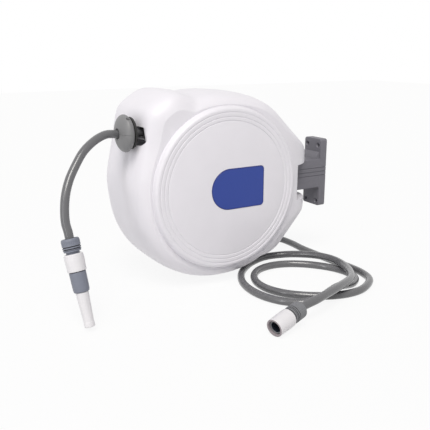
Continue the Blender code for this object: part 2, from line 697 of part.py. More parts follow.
def screw(name, head_radius, head_height, radius, length, axis, place, parent, finish):
    """A pan head screw; its shank runs from its seat towards the minus side of the axis."""
    profile = [(0, -length), (radius * 0.5, -length), (radius, -length + radius), (radius, 0), (head_radius, 0)]
    profile += [(head_radius, head_height * 0.6), (head_radius * 0.7, head_height), (0, head_height)]
    return add(name, turned(profile, axis, TINY_STEPS), finish, parent, place)


def build_housing_screws(parent, finish):
    for number, degrees in enumerate(POST_ANGLES, 1):
        x, z = polar(POST_CIRCLE, math.radians(degrees))
        seat = (x, BODY_HALF_DEPTH + SEAT_GAP, z)
        screw("housing_screw_%d" % number, SCREW_HEAD_RADIUS, SCREW_HEAD_HEIGHT, SCREW_RADIUS, SCREW_LENGTH,
              "Y", seat, parent, finish)


def arm_outline(inset, back):
    """The arm from above: straight sides from its back to a round end about the swivel pin."""
    radius = ARM_RADIUS - inset
    round_end = arc(-PIN_TO_WALL, 0, radius, math.pi / 2, 1.5 * math.pi, SMALL_STEPS)
    return [(back, -radius), (back, radius)] + round_end


def bracket_cuts():
    """The grooves round the arm, the bore of the swivel bushes and the four wall screw holes."""
    cuts = bmesh.new()
    for height in BRACKET_GROOVES:
        low = height - GROOVE_WIDTH / 2
        high = height + GROOVE_WIDTH / 2
        inner = arm_outline(GROOVE_DEPTH, CUT_SPARE)
        outer = arm_outline(-CUT_SPARE, CUT_SPARE)
        section = ((inner, low), (outer, low), (outer, high), (inner, high))
        ring_loft([[(x, y, z) for x, y in ring] for ring, z in section], cuts)

    half = ARM_HEIGHT / 2
    bush = PIN_RADIUS + BORE_GAP / 2 + BUSH_WALL + SEAT_GAP
    flange = BUSH_FLANGE_RADIUS + SEAT_GAP
    deep = half - BUSH_FLANGE - SEAT_GAP
    past = half + CUT_SPARE
    bore = [(0, -past), (flange, -past), (flange, -deep), (bush, -deep), (bush, deep), (flange, deep),
            (flange, past), (0, past)]
    turned(bore, "Z", ROUND_STEPS, bm=cuts, centre=(-PIN_TO_WALL, 0, 0))

    front = -PLATE_THICKNESS
    hole = [(0, CUT_SPARE), (WALL_SCREW_HOLE_RADIUS, CUT_SPARE)]
    hole += [(WALL_SCREW_HOLE_RADIUS, front + WALL_SCREW_HEAD_DEPTH), (WALL_SCREW_HEAD_RADIUS, front)]
    hole += [(WALL_SCREW_HEAD_RADIUS, front - SLOPE_LENGTH), (0, front - SLOPE_LENGTH)]
    for side in (-1, 1):
        for height in (PLATE_HEIGHT / 2 - WALL_SCREW_FROM_TOP, WALL_SCREW_FROM_BOTTOM - PLATE_HEIGHT / 2):
            turned(hole, "X", TINY_STEPS, bm=cuts, centre=(0, side * WALL_SCREW_SPACING / 2, height))
    return cuts


def build_wall_bracket(finish):
    front = -PLATE_THICKNESS
    outline = rounded_rectangle(PLATE_WIDTH / 2, PLATE_HEIGHT / 2, PLATE_CORNER)
    small = rounded_rectangle(PLATE_WIDTH / 2 - BRACKET_EDGE, PLATE_HEIGHT / 2 - BRACKET_EDGE, PLATE_CORNER)
    levels = ((0, outline), (front + BRACKET_EDGE, outline), (front, small))
    bracket = add("wall_bracket", loft([[(x, y, z) for y, z in ring] for x, ring in levels]), finish)

    half = ARM_HEIGHT / 2
    levels = ((-half, BRACKET_EDGE), (-half + BRACKET_EDGE, 0), (half - BRACKET_EDGE, 0), (half, BRACKET_EDGE))
    arm = loft([[(x, y, z) for x, y in arm_outline(inset, front / 2)] for z, inset in levels])
    combine(bracket, tool("arm_shape", arm), "UNION")

    foot = half - SLOPE_SUNK
    slope = [(front * 0.6, foot), (front * 0.6, half + SLOPE_HEIGHT), (front - SLOPE_LENGTH, foot)]
    slope_width = ARM_RADIUS - 2 * BRACKET_EDGE
    web = loft([[(x, y, z) for x, z in slope] for y in (-slope_width, slope_width)])
    combine(bracket, tool("slope_shape", web), "UNION")
    cut(bracket, tool("bracket_cutter", bracket_cuts()))
    return bracket


def build_swivel(finish_steel, finish_bush):
    place = (-PIN_TO_WALL, 0, 0)
    top = AXIS_ABOVE_ARM + RECESS_TOP + PIN_IN_UPPER_EAR
    seat = AXIS_ABOVE_ARM + RECESS_BOTTOM - PIN_IN_LOWER_EAR - SEAT_GAP
    head = seat - PIN_HEAD_HEIGHT
    pin = [(0, head), (PIN_HEAD_RADIUS, head), (PIN_HEAD_RADIUS, seat), (PIN_RADIUS, seat)]
    pin += [(PIN_RADIUS, top - PIN_TIP_EDGE), (PIN_RADIUS - PIN_TIP_EDGE, top), (0, top)]
    add("swivel_pin", turned(pin, "Z", MIDDLE_STEPS), finish_steel, None, place)
    clip_top = head - SEAT_GAP
    clip_radius = PIN_HEAD_RADIUS + CLIP_PAST_HEAD
    clip = pipe(clip_radius, PIN_RADIUS, clip_top - CLIP_HEIGHT, clip_top, "Z", MIDDLE_STEPS)
    add("pin_clip", clip, finish_steel, None, place)

    inner = PIN_RADIUS + BORE_GAP / 2
    outer = inner + BUSH_WALL
    face = ARM_HEIGHT / 2 + BORE_GAP / 2
    for name, side in (("swivel_bush_upper", 1), ("swivel_bush_lower", -1)):
        outline = [(inner, face - BUSH_LENGTH), (outer, face - BUSH_LENGTH), (outer, face - BUSH_FLANGE)]
        outline += [(BUSH_FLANGE_RADIUS, face - BUSH_FLANGE), (BUSH_FLANGE_RADIUS, face), (inner, face)]
        add(name, turned([(r, h * side) for r, h in outline], "Z", MIDDLE_STEPS), finish_bush, None, place)


def build_hose_guide(parent, steel, pale):
    """Two rails, the carriage that runs on them with the hose's eye, and two upright rollers."""
    lane = (0, LANE_Y, LANE_Z)
    half_rails = RAIL_SPACING / 2
    front = SEAM_Y + WALL + SEAT_GAP
    for name, side in (("guide_rail_upper", 1), ("guide_rail_lower", -1)):
        bar = rod(RAIL_RADIUS, front, REAR_INNER_Y - SEAT_GAP, centre=(RAIL_X, 0, LANE_Z + side * half_rails))
        add(name, bar, steel, parent)

    half_length = CARRIAGE_LENGTH / 2
    half_width = CARRIAGE_WIDTH / 2
    block = rounded_rectangle(half_width, CARRIAGE_HEIGHT / 2, half_width / 3)
    ends = (RAIL_X - half_length, RAIL_X + half_length)
    body = loft([[(x, LANE_Y + y, LANE_Z + z) for y, z in block] for x in ends])
    carriage = add("guide_carriage", body, pale, parent)
    eye_front = RAIL_X - half_length - EYE_REACH
    eye = [(0, RAIL_X), (EYE_RADIUS, RAIL_X), (EYE_RADIUS, eye_front + EYE_EDGE)]
    eye += [(EYE_RADIUS - EYE_EDGE, eye_front), (0, eye_front)]
    combine(carriage, tool("eye_shape", turned(eye, "X", MIDDLE_STEPS, centre=lane), parent), "UNION")

    roller_y = HOSE_RADIUS + ROLLER_RADIUS + ROLLER_SIDE_CLEAR
    roller_half = HOSE_RADIUS + ROLLER_PAST_HOSE
    lug_y = roller_y + ROLLER_RADIUS * 0.8
    lug_end = RAIL_X + ROLLER_X + ROLLER_RADIUS
    lugs = bmesh.new()
    for side in (-1, 1):
        near = LANE_Z + side * (roller_half + RUN_GAP)
        far = near + side * LUG_THICKNESS
        box((RAIL_X, LANE_Y - lug_y, min(near, far)), (lug_end, LANE_Y + lug_y, max(near, far)), lugs)
    combine(carriage, tool("lug_shape", lugs, parent), "UNION")

    eye_bore = HOSE_RADIUS + EYE_BORE_CLEAR
    holes = rod(eye_bore, eye_front - CUT_SPARE, ends[1] + CUT_SPARE, "X", MIDDLE_STEPS, centre=lane)
    rail_reach = half_width + CUT_SPARE
    pin_reach = roller_half + RUN_GAP + LUG_THICKNESS
    for side in (-1, 1):
        rod(RAIL_RADIUS + SEAT_GAP, LANE_Y - rail_reach, LANE_Y + rail_reach, bm=holes,
            centre=(RAIL_X, 0, LANE_Z + side * half_rails))
        rod(ROLLER_PIN_RADIUS + SEAT_GAP, LANE_Z - pin_reach - CUT_SPARE, LANE_Z + pin_reach + CUT_SPARE, "Z",
            TINY_STEPS, bm=holes, centre=(RAIL_X + ROLLER_X, LANE_Y + side * roller_y, 0))
    cut(carriage, tool("carriage_cutter", holes, parent))

    for name, side in (("left", 1), ("right", -1)):
        place = (RAIL_X + ROLLER_X, LANE_Y + side * roller_y, LANE_Z)
        add("guide_pin_" + name, guide_pin(pin_reach), steel, parent, place)
        pivot = empty("roller_axis_" + name, place, parent)
        add("guide_roller_" + name, guide_roller(roller_half), pale, pivot)


def guide_pin(reach):
    head = ROLLER_PIN_RADIUS * 1.8
    seat = reach + SEAT_GAP
    top = seat + ROLLER_PIN_HEAD
    outline = [(0, -reach), (ROLLER_PIN_RADIUS, -reach), (ROLLER_PIN_RADIUS, seat)]
    outline += [(head, seat), (head, top), (0, top)]
    return turned(outline, "Z", TINY_STEPS)


def guide_roller(half):
    """A roller that is a little thinner in the middle, with both edges broken."""
    bore = ROLLER_PIN_RADIUS + RUN_GAP / 2
    edge = ROLLER_EDGE
    outline = [(bore, -half), (ROLLER_RADIUS - edge, -half), (ROLLER_RADIUS, -half + edge)]
    outline += [(ROLLER_RADIUS - ROLLER_WAIST, 0), (ROLLER_RADIUS, half - edge)]
    outline += [(ROLLER_RADIUS - edge, half), (bore, half)]
    return turned(outline, "Z", SMALL_STEPS)


def build_stopper(parent, grey, rubber, steel):
    """Two half shells screwed together round the hose, with a rubber buffer behind them."""
    bumper_rear = face_x(0, LANE_Z - BUMPER_RADIUS) - SEAT_GAP
    bumper_front = bumper_rear - BUMPER_THICKNESS
    bore = HOSE_RADIUS + SEAT_GAP
    lane = (0, LANE_Y, LANE_Z)
    outline = [(bore, bumper_rear), (BUMPER_RADIUS - BUMPER_EDGE, bumper_rear)]
    outline += [(BUMPER_RADIUS, bumper_rear - BUMPER_EDGE), (BUMPER_RADIUS, bumper_front), (bore, bumper_front)]
    add("stopper_bumper", turned(outline, "X", ROUND_STEPS, centre=lane), rubber, parent)

    back = bumper_front - SEAT_GAP
    middle = back - STOPPER_BACK
    clamp = bore + SEAT_GAP
    first = math.acos(STOPPER_BACK / STOPPER_FRONT)
    last = math.pi - math.asin(clamp / STOPPER_RADIUS)
    outline = [(clamp, back)]
    for i in range(STOPPER_STEPS + 1):
        t = first + (last - first) * i / STOPPER_STEPS
        outline.append((STOPPER_RADIUS * math.sin(t), middle + STOPPER_FRONT * math.cos(t)))

    sides = (-STOPPER_RADIUS * 0.56, STOPPER_RADIUS * 0.56)
    seat = STOPPER_RADIUS * 0.5
    shank = STOPPER_RADIUS * 0.8
    over = STOPPER_RADIUS * 1.5
    bore = STOPPER_SCREW_RADIUS + PILOT_CLEAR
    mouth = STOPPER_SCREW_HEAD + SCREW_HOLE_CLEAR
    well = [(0, seat - shank - PILOT_SPARE), (bore, seat - shank - PILOT_SPARE), (bore, seat)]
    well += [(mouth, seat), (mouth, over), (0, over)]
    for name, start, side in (("stopper_upper", 0.0, 1), ("stopper_lower", math.pi, -1)):
        shape = turned(outline, "X", MIDDLE_STEPS // 2, start, math.pi, centre=lane)
        half = add(name, shape, grey, parent, (0, 0, side * SEAT_GAP / 2))
        wells = bmesh.new()
        for y in sides:
            turned(well, "Z", TINY_STEPS, bm=wells, centre=(middle, LANE_Y + y, LANE_Z))
        cut(half, tool(name + "_cutter", wells, parent))
    for number, y in enumerate(sides, 1):
        place = (middle, LANE_Y + y, LANE_Z + seat + SEAT_GAP)
        screw("stopper_screw_%d" % number, STOPPER_SCREW_HEAD, STOPPER_SCREW_HEAD_HEIGHT, STOPPER_SCREW_RADIUS,
              shank, "Z", place, parent, steel)
    return middle


def smooth_path(points, spacing):
    """A smooth curve through the route's points: even steps between its two straight ends, and its length."""
    route = [Vector(p) for p in points]
    ends = [2 * route[0] - route[1]] + route + [2 * route[-1] - route[-2]]
    fine = []
    for p0, p1, p2, p3 in zip(ends, ends[1:], ends[2:], ends[3:]):
        k1 = math.sqrt((p1 - p0).length)
        k2 = k1 + math.sqrt((p2 - p1).length)
        k3 = k2 + math.sqrt((p3 - p2).length)
        for i in range(CURVE_STEPS):
            s = k1 + (k2 - k1) * i / CURVE_STEPS
            a1 = p0.lerp(p1, s / k1)
            a2 = p1.lerp(p2, (s - k1) / (k2 - k1))
            a3 = p2.lerp(p3, (s - k2) / (k3 - k2))
            b1 = a1.lerp(a2, s / k2)
            b2 = a2.lerp(a3, (s - k1) / (k3 - k1))
            fine.append(b1.lerp(b2, (s - k1) / (k2 - k1)))
    fine = fine[CURVE_STEPS:1 - CURVE_STEPS]
    total = sum((q - p).length for p, q in zip(fine, fine[1:]))
    count = max(2, round(total / spacing))
    even, walked, target = [fine[0]], 0.0, total / count
    for p, q in zip(fine, fine[1:]):
        step = (q - p).length
        while walked + step >= target - 1e-9 and len(even) < count:
            even.append(p.lerp(q, (target - walked) / step))
            target += total / count
        walked += step
    even = [route[0]] + even + [fine[-1], route[-1]]
    return even, total + (route[1] - route[0]).length + (route[-1] - route[-2]).length


def least_gap(points, radius, apart):
    """Least distance between surfaces of stretches of one tube that lie well apart along it."""
    best = 1.0
    for i, p in enumerate(points):
        for q in points[i + apart:]:
            best = min(best, (p - q).length - 2 * radius)
    return best


def build_tube(name, points, finish, parent):
    even, length = smooth_path(points, TUBE_STEP * 2 * HOSE_RADIUS)
    fine, _ = smooth_path(points, HOSE_RADIUS / 2)
    print("%s: %.3f m long, least gap to itself %.4f m" % (name, length, least_gap(fine, HOSE_RADIUS, 24)))
    curve = bpy.data.curves.new(name, "CURVE")
    curve.dimensions = "3D"
    curve.bevel_depth = HOSE_RADIUS
    curve.bevel_resolution = 2
    curve.use_fill_caps = True
    curve.resolution_u = 1
    curve.render_resolution_u = 0
    spline = curve.splines.new("POLY")
    spline.points.add(len(even) - 1)
    offset = Vector((0, 0, 0))
    holder = parent
    while holder is not None:
        offset += holder.location
        holder = holder.parent
    for point, place in zip(spline.points, even):
        point.co = (*(place - offset), 1.0)
    made = bpy.data.objects.new(name, curve)
    made.parent = parent
    curve.materials.append(finish)
    bpy.context.collection.objects.link(made)
    return even


def build_drum(parent, grey, pale, dark, hose, bronze):
    half = DRUM_HALF_WIDTH
    bush = BUSH_RADIUS + SEAT_GAP
    axle = AXLE_RADIUS + BORE_GAP
    hub_end = half - CORE_HUB_LENGTH
    core = [(CORE_INNER, -half), (CORE_RADIUS, -half), (CORE_RADIUS, half), (bush, half), (bush, hub_end)]
    core += [(bush + DRUM_WALL, hub_end), (bush + DRUM_WALL, half - DRUM_WALL), (CORE_INNER, half - DRUM_WALL)]
    drum = add("drum_core", turned(core, steps=ROUND_STEPS), grey, parent)
    swivel_hole = rod(SWIVEL_RADIUS + SEAT_GAP, 0, BODY_RADIUS, "Z", TINY_STEPS, centre=(0, SWIVEL_Y, 0))
    cut(drum, tool("swivel_cutter", swivel_hole, parent))

    wound_half = half - SEAT_GAP
    winding = pipe(WOUND_RADIUS, CORE_RADIUS + SEAT_GAP, -wound_half, wound_half)
    add("hose_winding", winding, hose, parent)

    near = half + SEAT_GAP
    far = near + FLANGE_THICKNESS
    rim = far + FLANGE_RIM_HEIGHT
    lid_bore = SPRING_COVER_RADIUS + RUN_GAP
    for name, side, bore in (("drum_flange_front", -1, lid_bore), ("drum_flange_rear", 1, bush)):
        outline = [(bore, near), (FLANGE_RADIUS - FLANGE_RIM_HEIGHT, near)]
        outline += [(FLANGE_RADIUS, near + FLANGE_RIM_HEIGHT)]
        outline += [(FLANGE_RADIUS, rim), (FLANGE_RADIUS - FLANGE_RIM_WIDTH, rim)]
        outline += [(FLANGE_RADIUS - FLANGE_RIM_WIDTH - FLANGE_RIM_HEIGHT, far), (bore, far)]
        add(name, turned([(r, h * side) for r, h in outline], steps=ROUND_STEPS), grey, parent)

    lid = -half - SPRING_COVER_PROUD
    floor = -half + SPRING_COVER_THICKNESS
    cover = [(bush, lid), (SPRING_COVER_RADIUS, lid), (SPRING_COVER_RADIUS, -half - SEAT_GAP)]
    cover += [(CORE_INNER - SEAT_GAP, -half - SEAT_GAP), (CORE_INNER - SEAT_GAP, floor), (bush, floor)]
    add("spring_cover", turned(cover, steps=ROUND_STEPS), dark, parent)
    for name, low, high in (("drum_bush_front", lid, floor), ("drum_bush_rear", hub_end, half)):
        add(name, pipe(BUSH_RADIUS, axle, low, high, steps=MIDDLE_STEPS), bronze, parent)

    build_ratchet(parent, dark)
    ring = pipe(AXLE_RADIUS + ARBOR_GAP + DRUM_WALL, axle, SWIVEL_Y - SWIVEL_HALF, SWIVEL_Y + SWIVEL_HALF,
                steps=MIDDLE_STEPS)
    body = add("water_swivel", ring, pale, parent)
    spigot = rod(SWIVEL_RADIUS, AXLE_RADIUS + ARBOR_GAP, CORE_RADIUS - DRUM_WALL / 3, "Z", TINY_STEPS,
                 centre=(0, SWIVEL_Y, 0))
    combine(body, tool("swivel_spigot_shape", spigot, parent), "UNION")
    return drum


def build_ratchet(parent, dark):
    low = DRUM_HALF_WIDTH + FLANGE_THICKNESS + 2 * SEAT_GAP
    rings = []
    count = RATCHET_TEETH * 4
    high = low + RATCHET_WIDTH
    for toothed, y in ((False, low), (True, low), (True, high), (False, high)):
        ring = []
        for i in range(count):
            tooth, part = divmod(i, 4)
            if toothed:
                radius, lean = RATCHET_RADIUS - TOOTH_DEPTH * part / 3, 0.32 * part
            else:
                radius, lean = RATCHET_BORE, part / 4
            x, z = polar(radius, math.tau * (tooth + lean) / RATCHET_TEETH + RATCHET_PHASE)
            ring.append((x, y, z))
        rings.append(ring)
    add("ratchet_ring", ring_loft(rings), dark, parent)


def build_pawl(parent, dark, steel):
    low = DRUM_HALF_WIDTH + FLANGE_THICKNESS + PAWL_BEHIND_FLANGE
    high = low + RATCHET_WIDTH
    x, z = polar(PAWL_PIVOT_RADIUS, PAWL_PIVOT_ANGLE)
    pivot = empty("pawl_axis", (x, 0, z), parent)
    tip_radius = RATCHET_RADIUS - TOOTH_DEPTH * 0.5
    tip_x, tip_z = polar(tip_radius, PAWL_PIVOT_ANGLE + PAWL_TIP_LEAD)
    along = Vector((tip_x - x, tip_z - z))
    reach = along.length
    facing = math.atan2(along.y, along.x) - PAWL_LIFT
    c, s = math.cos(facing), math.sin(facing)

    def place(u, v):
        return (u * c - v * s, u * s + v * c)

    hub = PAWL_HUB_RADIUS
    outline = [place(*p) for p in arc(0, 0, hub, math.pi * 0.4, math.pi * 1.6, 12)]
    outline += [place(reach * 0.6, -hub * 0.6), place(reach, -PAWL_TIP_OUTSIDE)]
    outline += [place(reach, PAWL_TIP_INSIDE), place(reach * 0.6, hub * 0.5)]
    pawl = add("pawl", loft([[(px, y, pz) for px, pz in outline] for y in (low, high)]), dark, pivot)
    hole = rod(PAWL_PIN_RADIUS + RUN_GAP / 2, low - RATCHET_WIDTH, high + RATCHET_WIDTH, steps=TINY_STEPS)
    cut(pawl, tool("pawl_cutter", hole, pivot))
    end = REAR_INNER_Y - SEAT_GAP
    head = low - SEAT_GAP
    head_radius = PAWL_PIN_RADIUS * 1.7
    pin = [(0, head - PAWL_PIN_HEAD), (head_radius, head - PAWL_PIN_HEAD), (head_radius, head),
           (PAWL_PIN_RADIUS, head), (PAWL_PIN_RADIUS, end), (0, end)]
    add("pawl_pin", turned(pin, "Y", TINY_STEPS), steel, parent, (x, 0, z))
    inner = PAWL_PIN_RADIUS + SEAT_GAP
    coil = pipe(inner + PAWL_SPRING_WIRE, inner, high + SEAT_GAP, end, steps=TINY_STEPS)
    add("pawl_spring", coil, steel, parent, (x, 0, z))


def build_axle(parent, steel, dark, rubber):
    """The fixed hollow axle with its water port, the spring with its arbor, and the two seals."""
    front = COVER_FACE_Y + COVER_WALL + AXLE_SOCKET_FLOOR + SEAT_GAP
    rear = BODY_HALF_DEPTH + AXLE_PAST_WALL
    inlet = SWIVEL_Y - SWIVEL_HALF
    outline = [(0, front), (AXLE_RADIUS, front), (AXLE_RADIUS, rear), (AXLE_BORE, rear), (AXLE_BORE, inlet)]
    axle = add("axle", turned(outline + [(0, inlet)], steps=MIDDLE_STEPS), steel, parent)
    port = rod(PORT_RADIUS, 0, AXLE_RADIUS * 2, "Z", TINY_STEPS, centre=(0, SWIVEL_Y, 0))
    cut(axle, tool("axle_port_cutter", port, parent))
    inner = AXLE_RADIUS + SEAT_GAP
    outer = AXLE_RADIUS + ARBOR_WALL
    arbor = pipe(outer, inner, SPRING_FRONT, SPRING_FRONT + SPRING_WIDTH, steps=MIDDLE_STEPS)
    add("spring_arbor", arbor, dark, parent)

    half = SPRING_THICKNESS / 2
    first = outer + SEAT_GAP + half
    last = CORE_INNER - SPRING_THICKNESS
    low = SPRING_FRONT + SPRING_EDGE_CLEAR
    high = SPRING_FRONT + SPRING_WIDTH - SPRING_EDGE_CLEAR
    strip = []
    count = SPRING_TURNS * SMALL_STEPS
    for i in range(count + 1):
        radius = first + (last - first) * i / count
        angle = math.tau * SPRING_TURNS * i / count
        xi, zi = polar(radius - half, angle)
        xo, zo = polar(radius + half, angle)
        strip.append([(xi, low, zi), (xo, low, zo), (xo, high, zo), (xi, high, zi)])
    add("power_spring", loft(strip), steel, parent)

    for name, side in (("swivel_seal_front", -1), ("swivel_seal_rear", 1)):
        near = SWIVEL_Y + side * (SWIVEL_HALF + SEAT_GAP + SEAL_RADIUS)
        middle = inner + SEAL_RADIUS
        turns = [polar(SEAL_RADIUS, a) for a in angles(SEAL_STEPS)]
        ring = [(middle + out, near + up) for out, up in turns]
        add(name, turned(ring, steps=MIDDLE_STEPS), rubber, parent)


def build_inlet_elbow(parent, grey, steel):
    """The elbow on the rear end of the axle, and the band clamp round the hose on its arm."""
    rear = BODY_HALF_DEPTH
    inner = AXLE_RADIUS + SEAT_GAP
    seat = rear + SEAT_GAP
    foot = rear + ELBOW_FOOT
    top = ELBOW_Y + ELBOW_HUB_RADIUS
    well = rear + AXLE_PAST_WALL + SEAT_GAP
    foot_radius = ELBOW_HUB_RADIUS + ELBOW_FOOT_REACH
    hub = [(inner, seat), (foot_radius, seat), (foot_radius, foot)]
    hub += [(ELBOW_HUB_RADIUS, foot), (ELBOW_HUB_RADIUS, top)]
    hub += [(ELBOW_HUB_RADIUS - ELBOW_CAP, top + ELBOW_CAP), (0, top + ELBOW_CAP), (0, well), (inner, well)]
    elbow = add("inlet_elbow", turned(hub, steps=MIDDLE_STEPS), grey, parent)

    outward = Vector((math.cos(ELBOW_DIRECTION), 0, math.sin(ELBOW_DIRECTION)))
    middle = Vector((0, ELBOW_Y, 0))
    facing = outward.to_track_quat("Z", "Y").to_euler()
    arm = tool("elbow_shape", rod(ELBOW_RADIUS, 0, ELBOW_LENGTH, "Z"), parent, middle)
    arm.rotation_euler = facing
    combine(elbow, arm, "UNION")
    bore = rod(PORT_RADIUS, 0, ELBOW_LENGTH + CUT_SPARE, "Z", TINY_STEPS)
    bore = tool("elbow_bore_cutter", bore, parent, middle)
    bore.rotation_euler = facing
    port = tool("elbow_port_cutter", rod(PORT_RADIUS, rear, ELBOW_Y, steps=TINY_STEPS), parent)
    cut(elbow, bore, port)

    end = middle + outward * (ELBOW_LENGTH + SEAT_GAP)
    clamp_at = end + outward * CLAMP_FROM_END
    band_radius = HOSE_RADIUS + SEAT_GAP
    band = pipe(band_radius + CLAMP_THICKNESS, band_radius, 0, CLAMP_WIDTH, "Z", SMALL_STEPS)
    clamp = add("elbow_clamp", band, steel, parent, clamp_at, outward)
    barrel_at = (band_radius + CLAMP_THICKNESS + CLAMP_BARREL_RADIUS * 0.8, 0, CLAMP_WIDTH / 2)
    shape = rod(CLAMP_BARREL_RADIUS, -CLAMP_BARREL_HALF, CLAMP_BARREL_HALF, "Y", TINY_STEPS, centre=barrel_at)
    barrel = tool("clamp_screw_shape", shape, parent, clamp_at)
    barrel.rotation_euler = facing
    combine(clamp, barrel, "UNION")
    return end


def build_connector(prefix, start, direction, nut_length, sleeve_length, parent, grey, white):
    """Nut, connector body and sliding collar along a line; returns where body and collar face lie."""
    line = Vector(direction).normalized()
    bore = CONNECTOR_BORE * 0.7
    socket = CONNECTOR_BORE + SOCKET_STEP
    nut = [(bore, 0), (NUT_RADIUS * 0.72, 0), (NUT_RADIUS * 0.92, NUT_SHOULDER)]
    nut += [(NUT_RADIUS, NUT_SHOULDER * 1.6), (NUT_RADIUS, nut_length), (bore, nut_length)]
    add(prefix + "_nut", turned(nut, "Z", MIDDLE_STEPS), grey, parent, start, line)

    at = Vector(start) + line * (nut_length + SEAT_GAP)
    length = CONNECTOR_COLLAR + sleeve_length
    body = [(bore, 0), (CONNECTOR_COLLAR_RADIUS, 0), (CONNECTOR_COLLAR_RADIUS, CONNECTOR_COLLAR)]
    body += [(SPIGOT_RADIUS, CONNECTOR_COLLAR), (SPIGOT_RADIUS, length), (socket, length)]
    body += [(socket, length - CONNECTOR_SOCKET), (bore, length - CONNECTOR_SOCKET - SOCKET_STEP)]
    add(prefix + "_connector", turned(body, "Z", MIDDLE_STEPS), grey, parent, at, line)

    sleeve_at = at + line * (CONNECTOR_COLLAR + SLEEVE_TRAVEL)
    inner = SPIGOT_RADIUS + RUN_GAP
    outer = SLEEVE_RADIUS
    waist = outer - SLEEVE_EDGE / 2
    sleeve = [(inner, 0), (outer - SLEEVE_EDGE, 0), (outer, SLEEVE_EDGE), (outer, sleeve_length * 0.45)]
    sleeve += [(waist, sleeve_length * 0.75), (waist, sleeve_length - SLEEVE_EDGE)]
    sleeve += [(waist - SLEEVE_EDGE, sleeve_length), (inner, sleeve_length)]
    pivot = empty(prefix + "_sleeve_axis", sleeve_at, parent)
    add(prefix + "_sleeve", turned(sleeve, "Z", ROUND_STEPS), white, pivot, (0, 0, 0), line)
    return at + line * (length - CONNECTOR_SOCKET), sleeve_at + line * sleeve_length


def build_nozzle(end, direction, parent, blue_grey, white):
    """The nozzle body plugs into the outlet connector, and the tip turns on the body's stub."""
    line = Vector(direction).normalized()
    start = end + line * (2 * SEAT_GAP)
    plug = CONNECTOR_BORE + SOCKET_STEP - SEAT_GAP
    plug_end = NOZZLE_EDGE - CONNECTOR_SOCKET
    step = -SLEEVE_TRAVEL - SEAT_GAP
    shoulder = SPIGOT_RADIUS - NOZZLE_EDGE
    recess = NOZZLE_TIP_RADIUS - NOZZLE_STUB_STEP
    bore = recess + RUN_GAP / 2
    length = NOZZLE_BODY_LENGTH
    floor = length - NOZZLE_STUB - SEAT_GAP
    body = [(NOZZLE_BORE, plug_end), (plug, plug_end), (plug, step), (shoulder, step), (shoulder, 0)]
    body += [(NOZZLE_BODY_RADIUS - NOZZLE_EDGE, 0), (NOZZLE_BODY_RADIUS, NOZZLE_EDGE)]
    body += [(NOZZLE_BODY_RADIUS * 0.97, length - 2 * NOZZLE_EDGE), (NOZZLE_BODY_RADIUS * 0.90, length)]
    body += [(bore, length), (bore, floor), (NOZZLE_BORE, floor)]
    add("nozzle_body", turned(body, "Z", MIDDLE_STEPS), blue_grey, parent, start, line)

    tip_at = start + line * (length + SEAT_GAP)
    reach = NOZZLE_TIP_LENGTH
    ring = NOZZLE_END_RADIUS + NOZZLE_RING_PROUD
    tip = [(NOZZLE_BORE, -NOZZLE_STUB), (recess, -NOZZLE_STUB), (recess, 0), (NOZZLE_TIP_RADIUS, 0)]
    tip += [(NOZZLE_TIP_RADIUS, 3 * NOZZLE_EDGE), (NOZZLE_END_RADIUS, reach - NOZZLE_RING_LENGTH)]
    tip += [(ring, reach - NOZZLE_RING_LENGTH + 2 * NOZZLE_EDGE), (ring, reach - NOZZLE_EDGE)]
    tip += [(ring - NOZZLE_EDGE, reach), (NOZZLE_BORE, reach)]
    pivot = empty("nozzle_tip_axis", tip_at, parent)
    add("nozzle_tip", turned(tip, "Z", MIDDLE_STEPS), white, pivot, (0, 0, 0), line)


def scaled(point):
    """A point of a hose's run, from the drum's axis, spread out where the housing or the hose is larger."""
    return REEL_AXIS + Vector(point) * SPREAD


def build_outlet_hose(parent, hose, nozzle_grey, fitting_white, middle):
    """From the stopper's middle through the open air to the connector and the nozzle."""
    start = REEL_AXIS + Vector((middle - SEAT_GAP, LANE_Y, LANE_Z))
    straight = Vector((-2 * HOSE_RADIUS, 0, 0))
    line = OUTLET_DIRECTION.normalized()
    last = scaled(OUTLET_END)
    run = [scaled(p) for p in OUTLET_ROUTE]
    route = [start, start + straight, *run, last - line * (2 * HOSE_RADIUS), last - line * SEAT_GAP]
    build_tube("outlet_hose", route, hose, parent)
    _, face = build_connector("outlet", last - REEL_AXIS, line, OUTLET_NUT, OUTLET_SLEEVE, parent, nozzle_grey,
                              fitting_white)
    build_nozzle(face, line, parent, nozzle_grey, fitting_white)


def build_inlet_hose(parent, hose, grey, fitting_white, rubber, elbow_end):
    """From the elbow to the ground, through its loops, and to the connector."""
    first = REEL_AXIS + elbow_end
    outward = Vector((math.cos(ELBOW_DIRECTION), 0, math.sin(ELBOW_DIRECTION)))
    line = INLET_DIRECTION.normalized()
    last = scaled(INLET_END)
    run = [scaled(p) for p in INLET_ROUTE]
    straight = 2 * HOSE_RADIUS
    route = [first, first + outward * straight, *run, last - line * straight, last - line * SEAT_GAP]
    build_tube("inlet_hose", route, hose, parent)
    floor, _ = build_connector("inlet", last - REEL_AXIS, line, INLET_NUT, INLET_SLEEVE, parent, grey,
                               fitting_white)
    washer_radius = CONNECTOR_BORE + SOCKET_STEP - SEAT_GAP
    washer = pipe(washer_radius, CONNECTOR_BORE * 0.7, 0, WASHER_THICKNESS, "Z", SMALL_STEPS)
    add("inlet_seal", washer, rubber, parent, floor + line * SEAT_GAP, line)


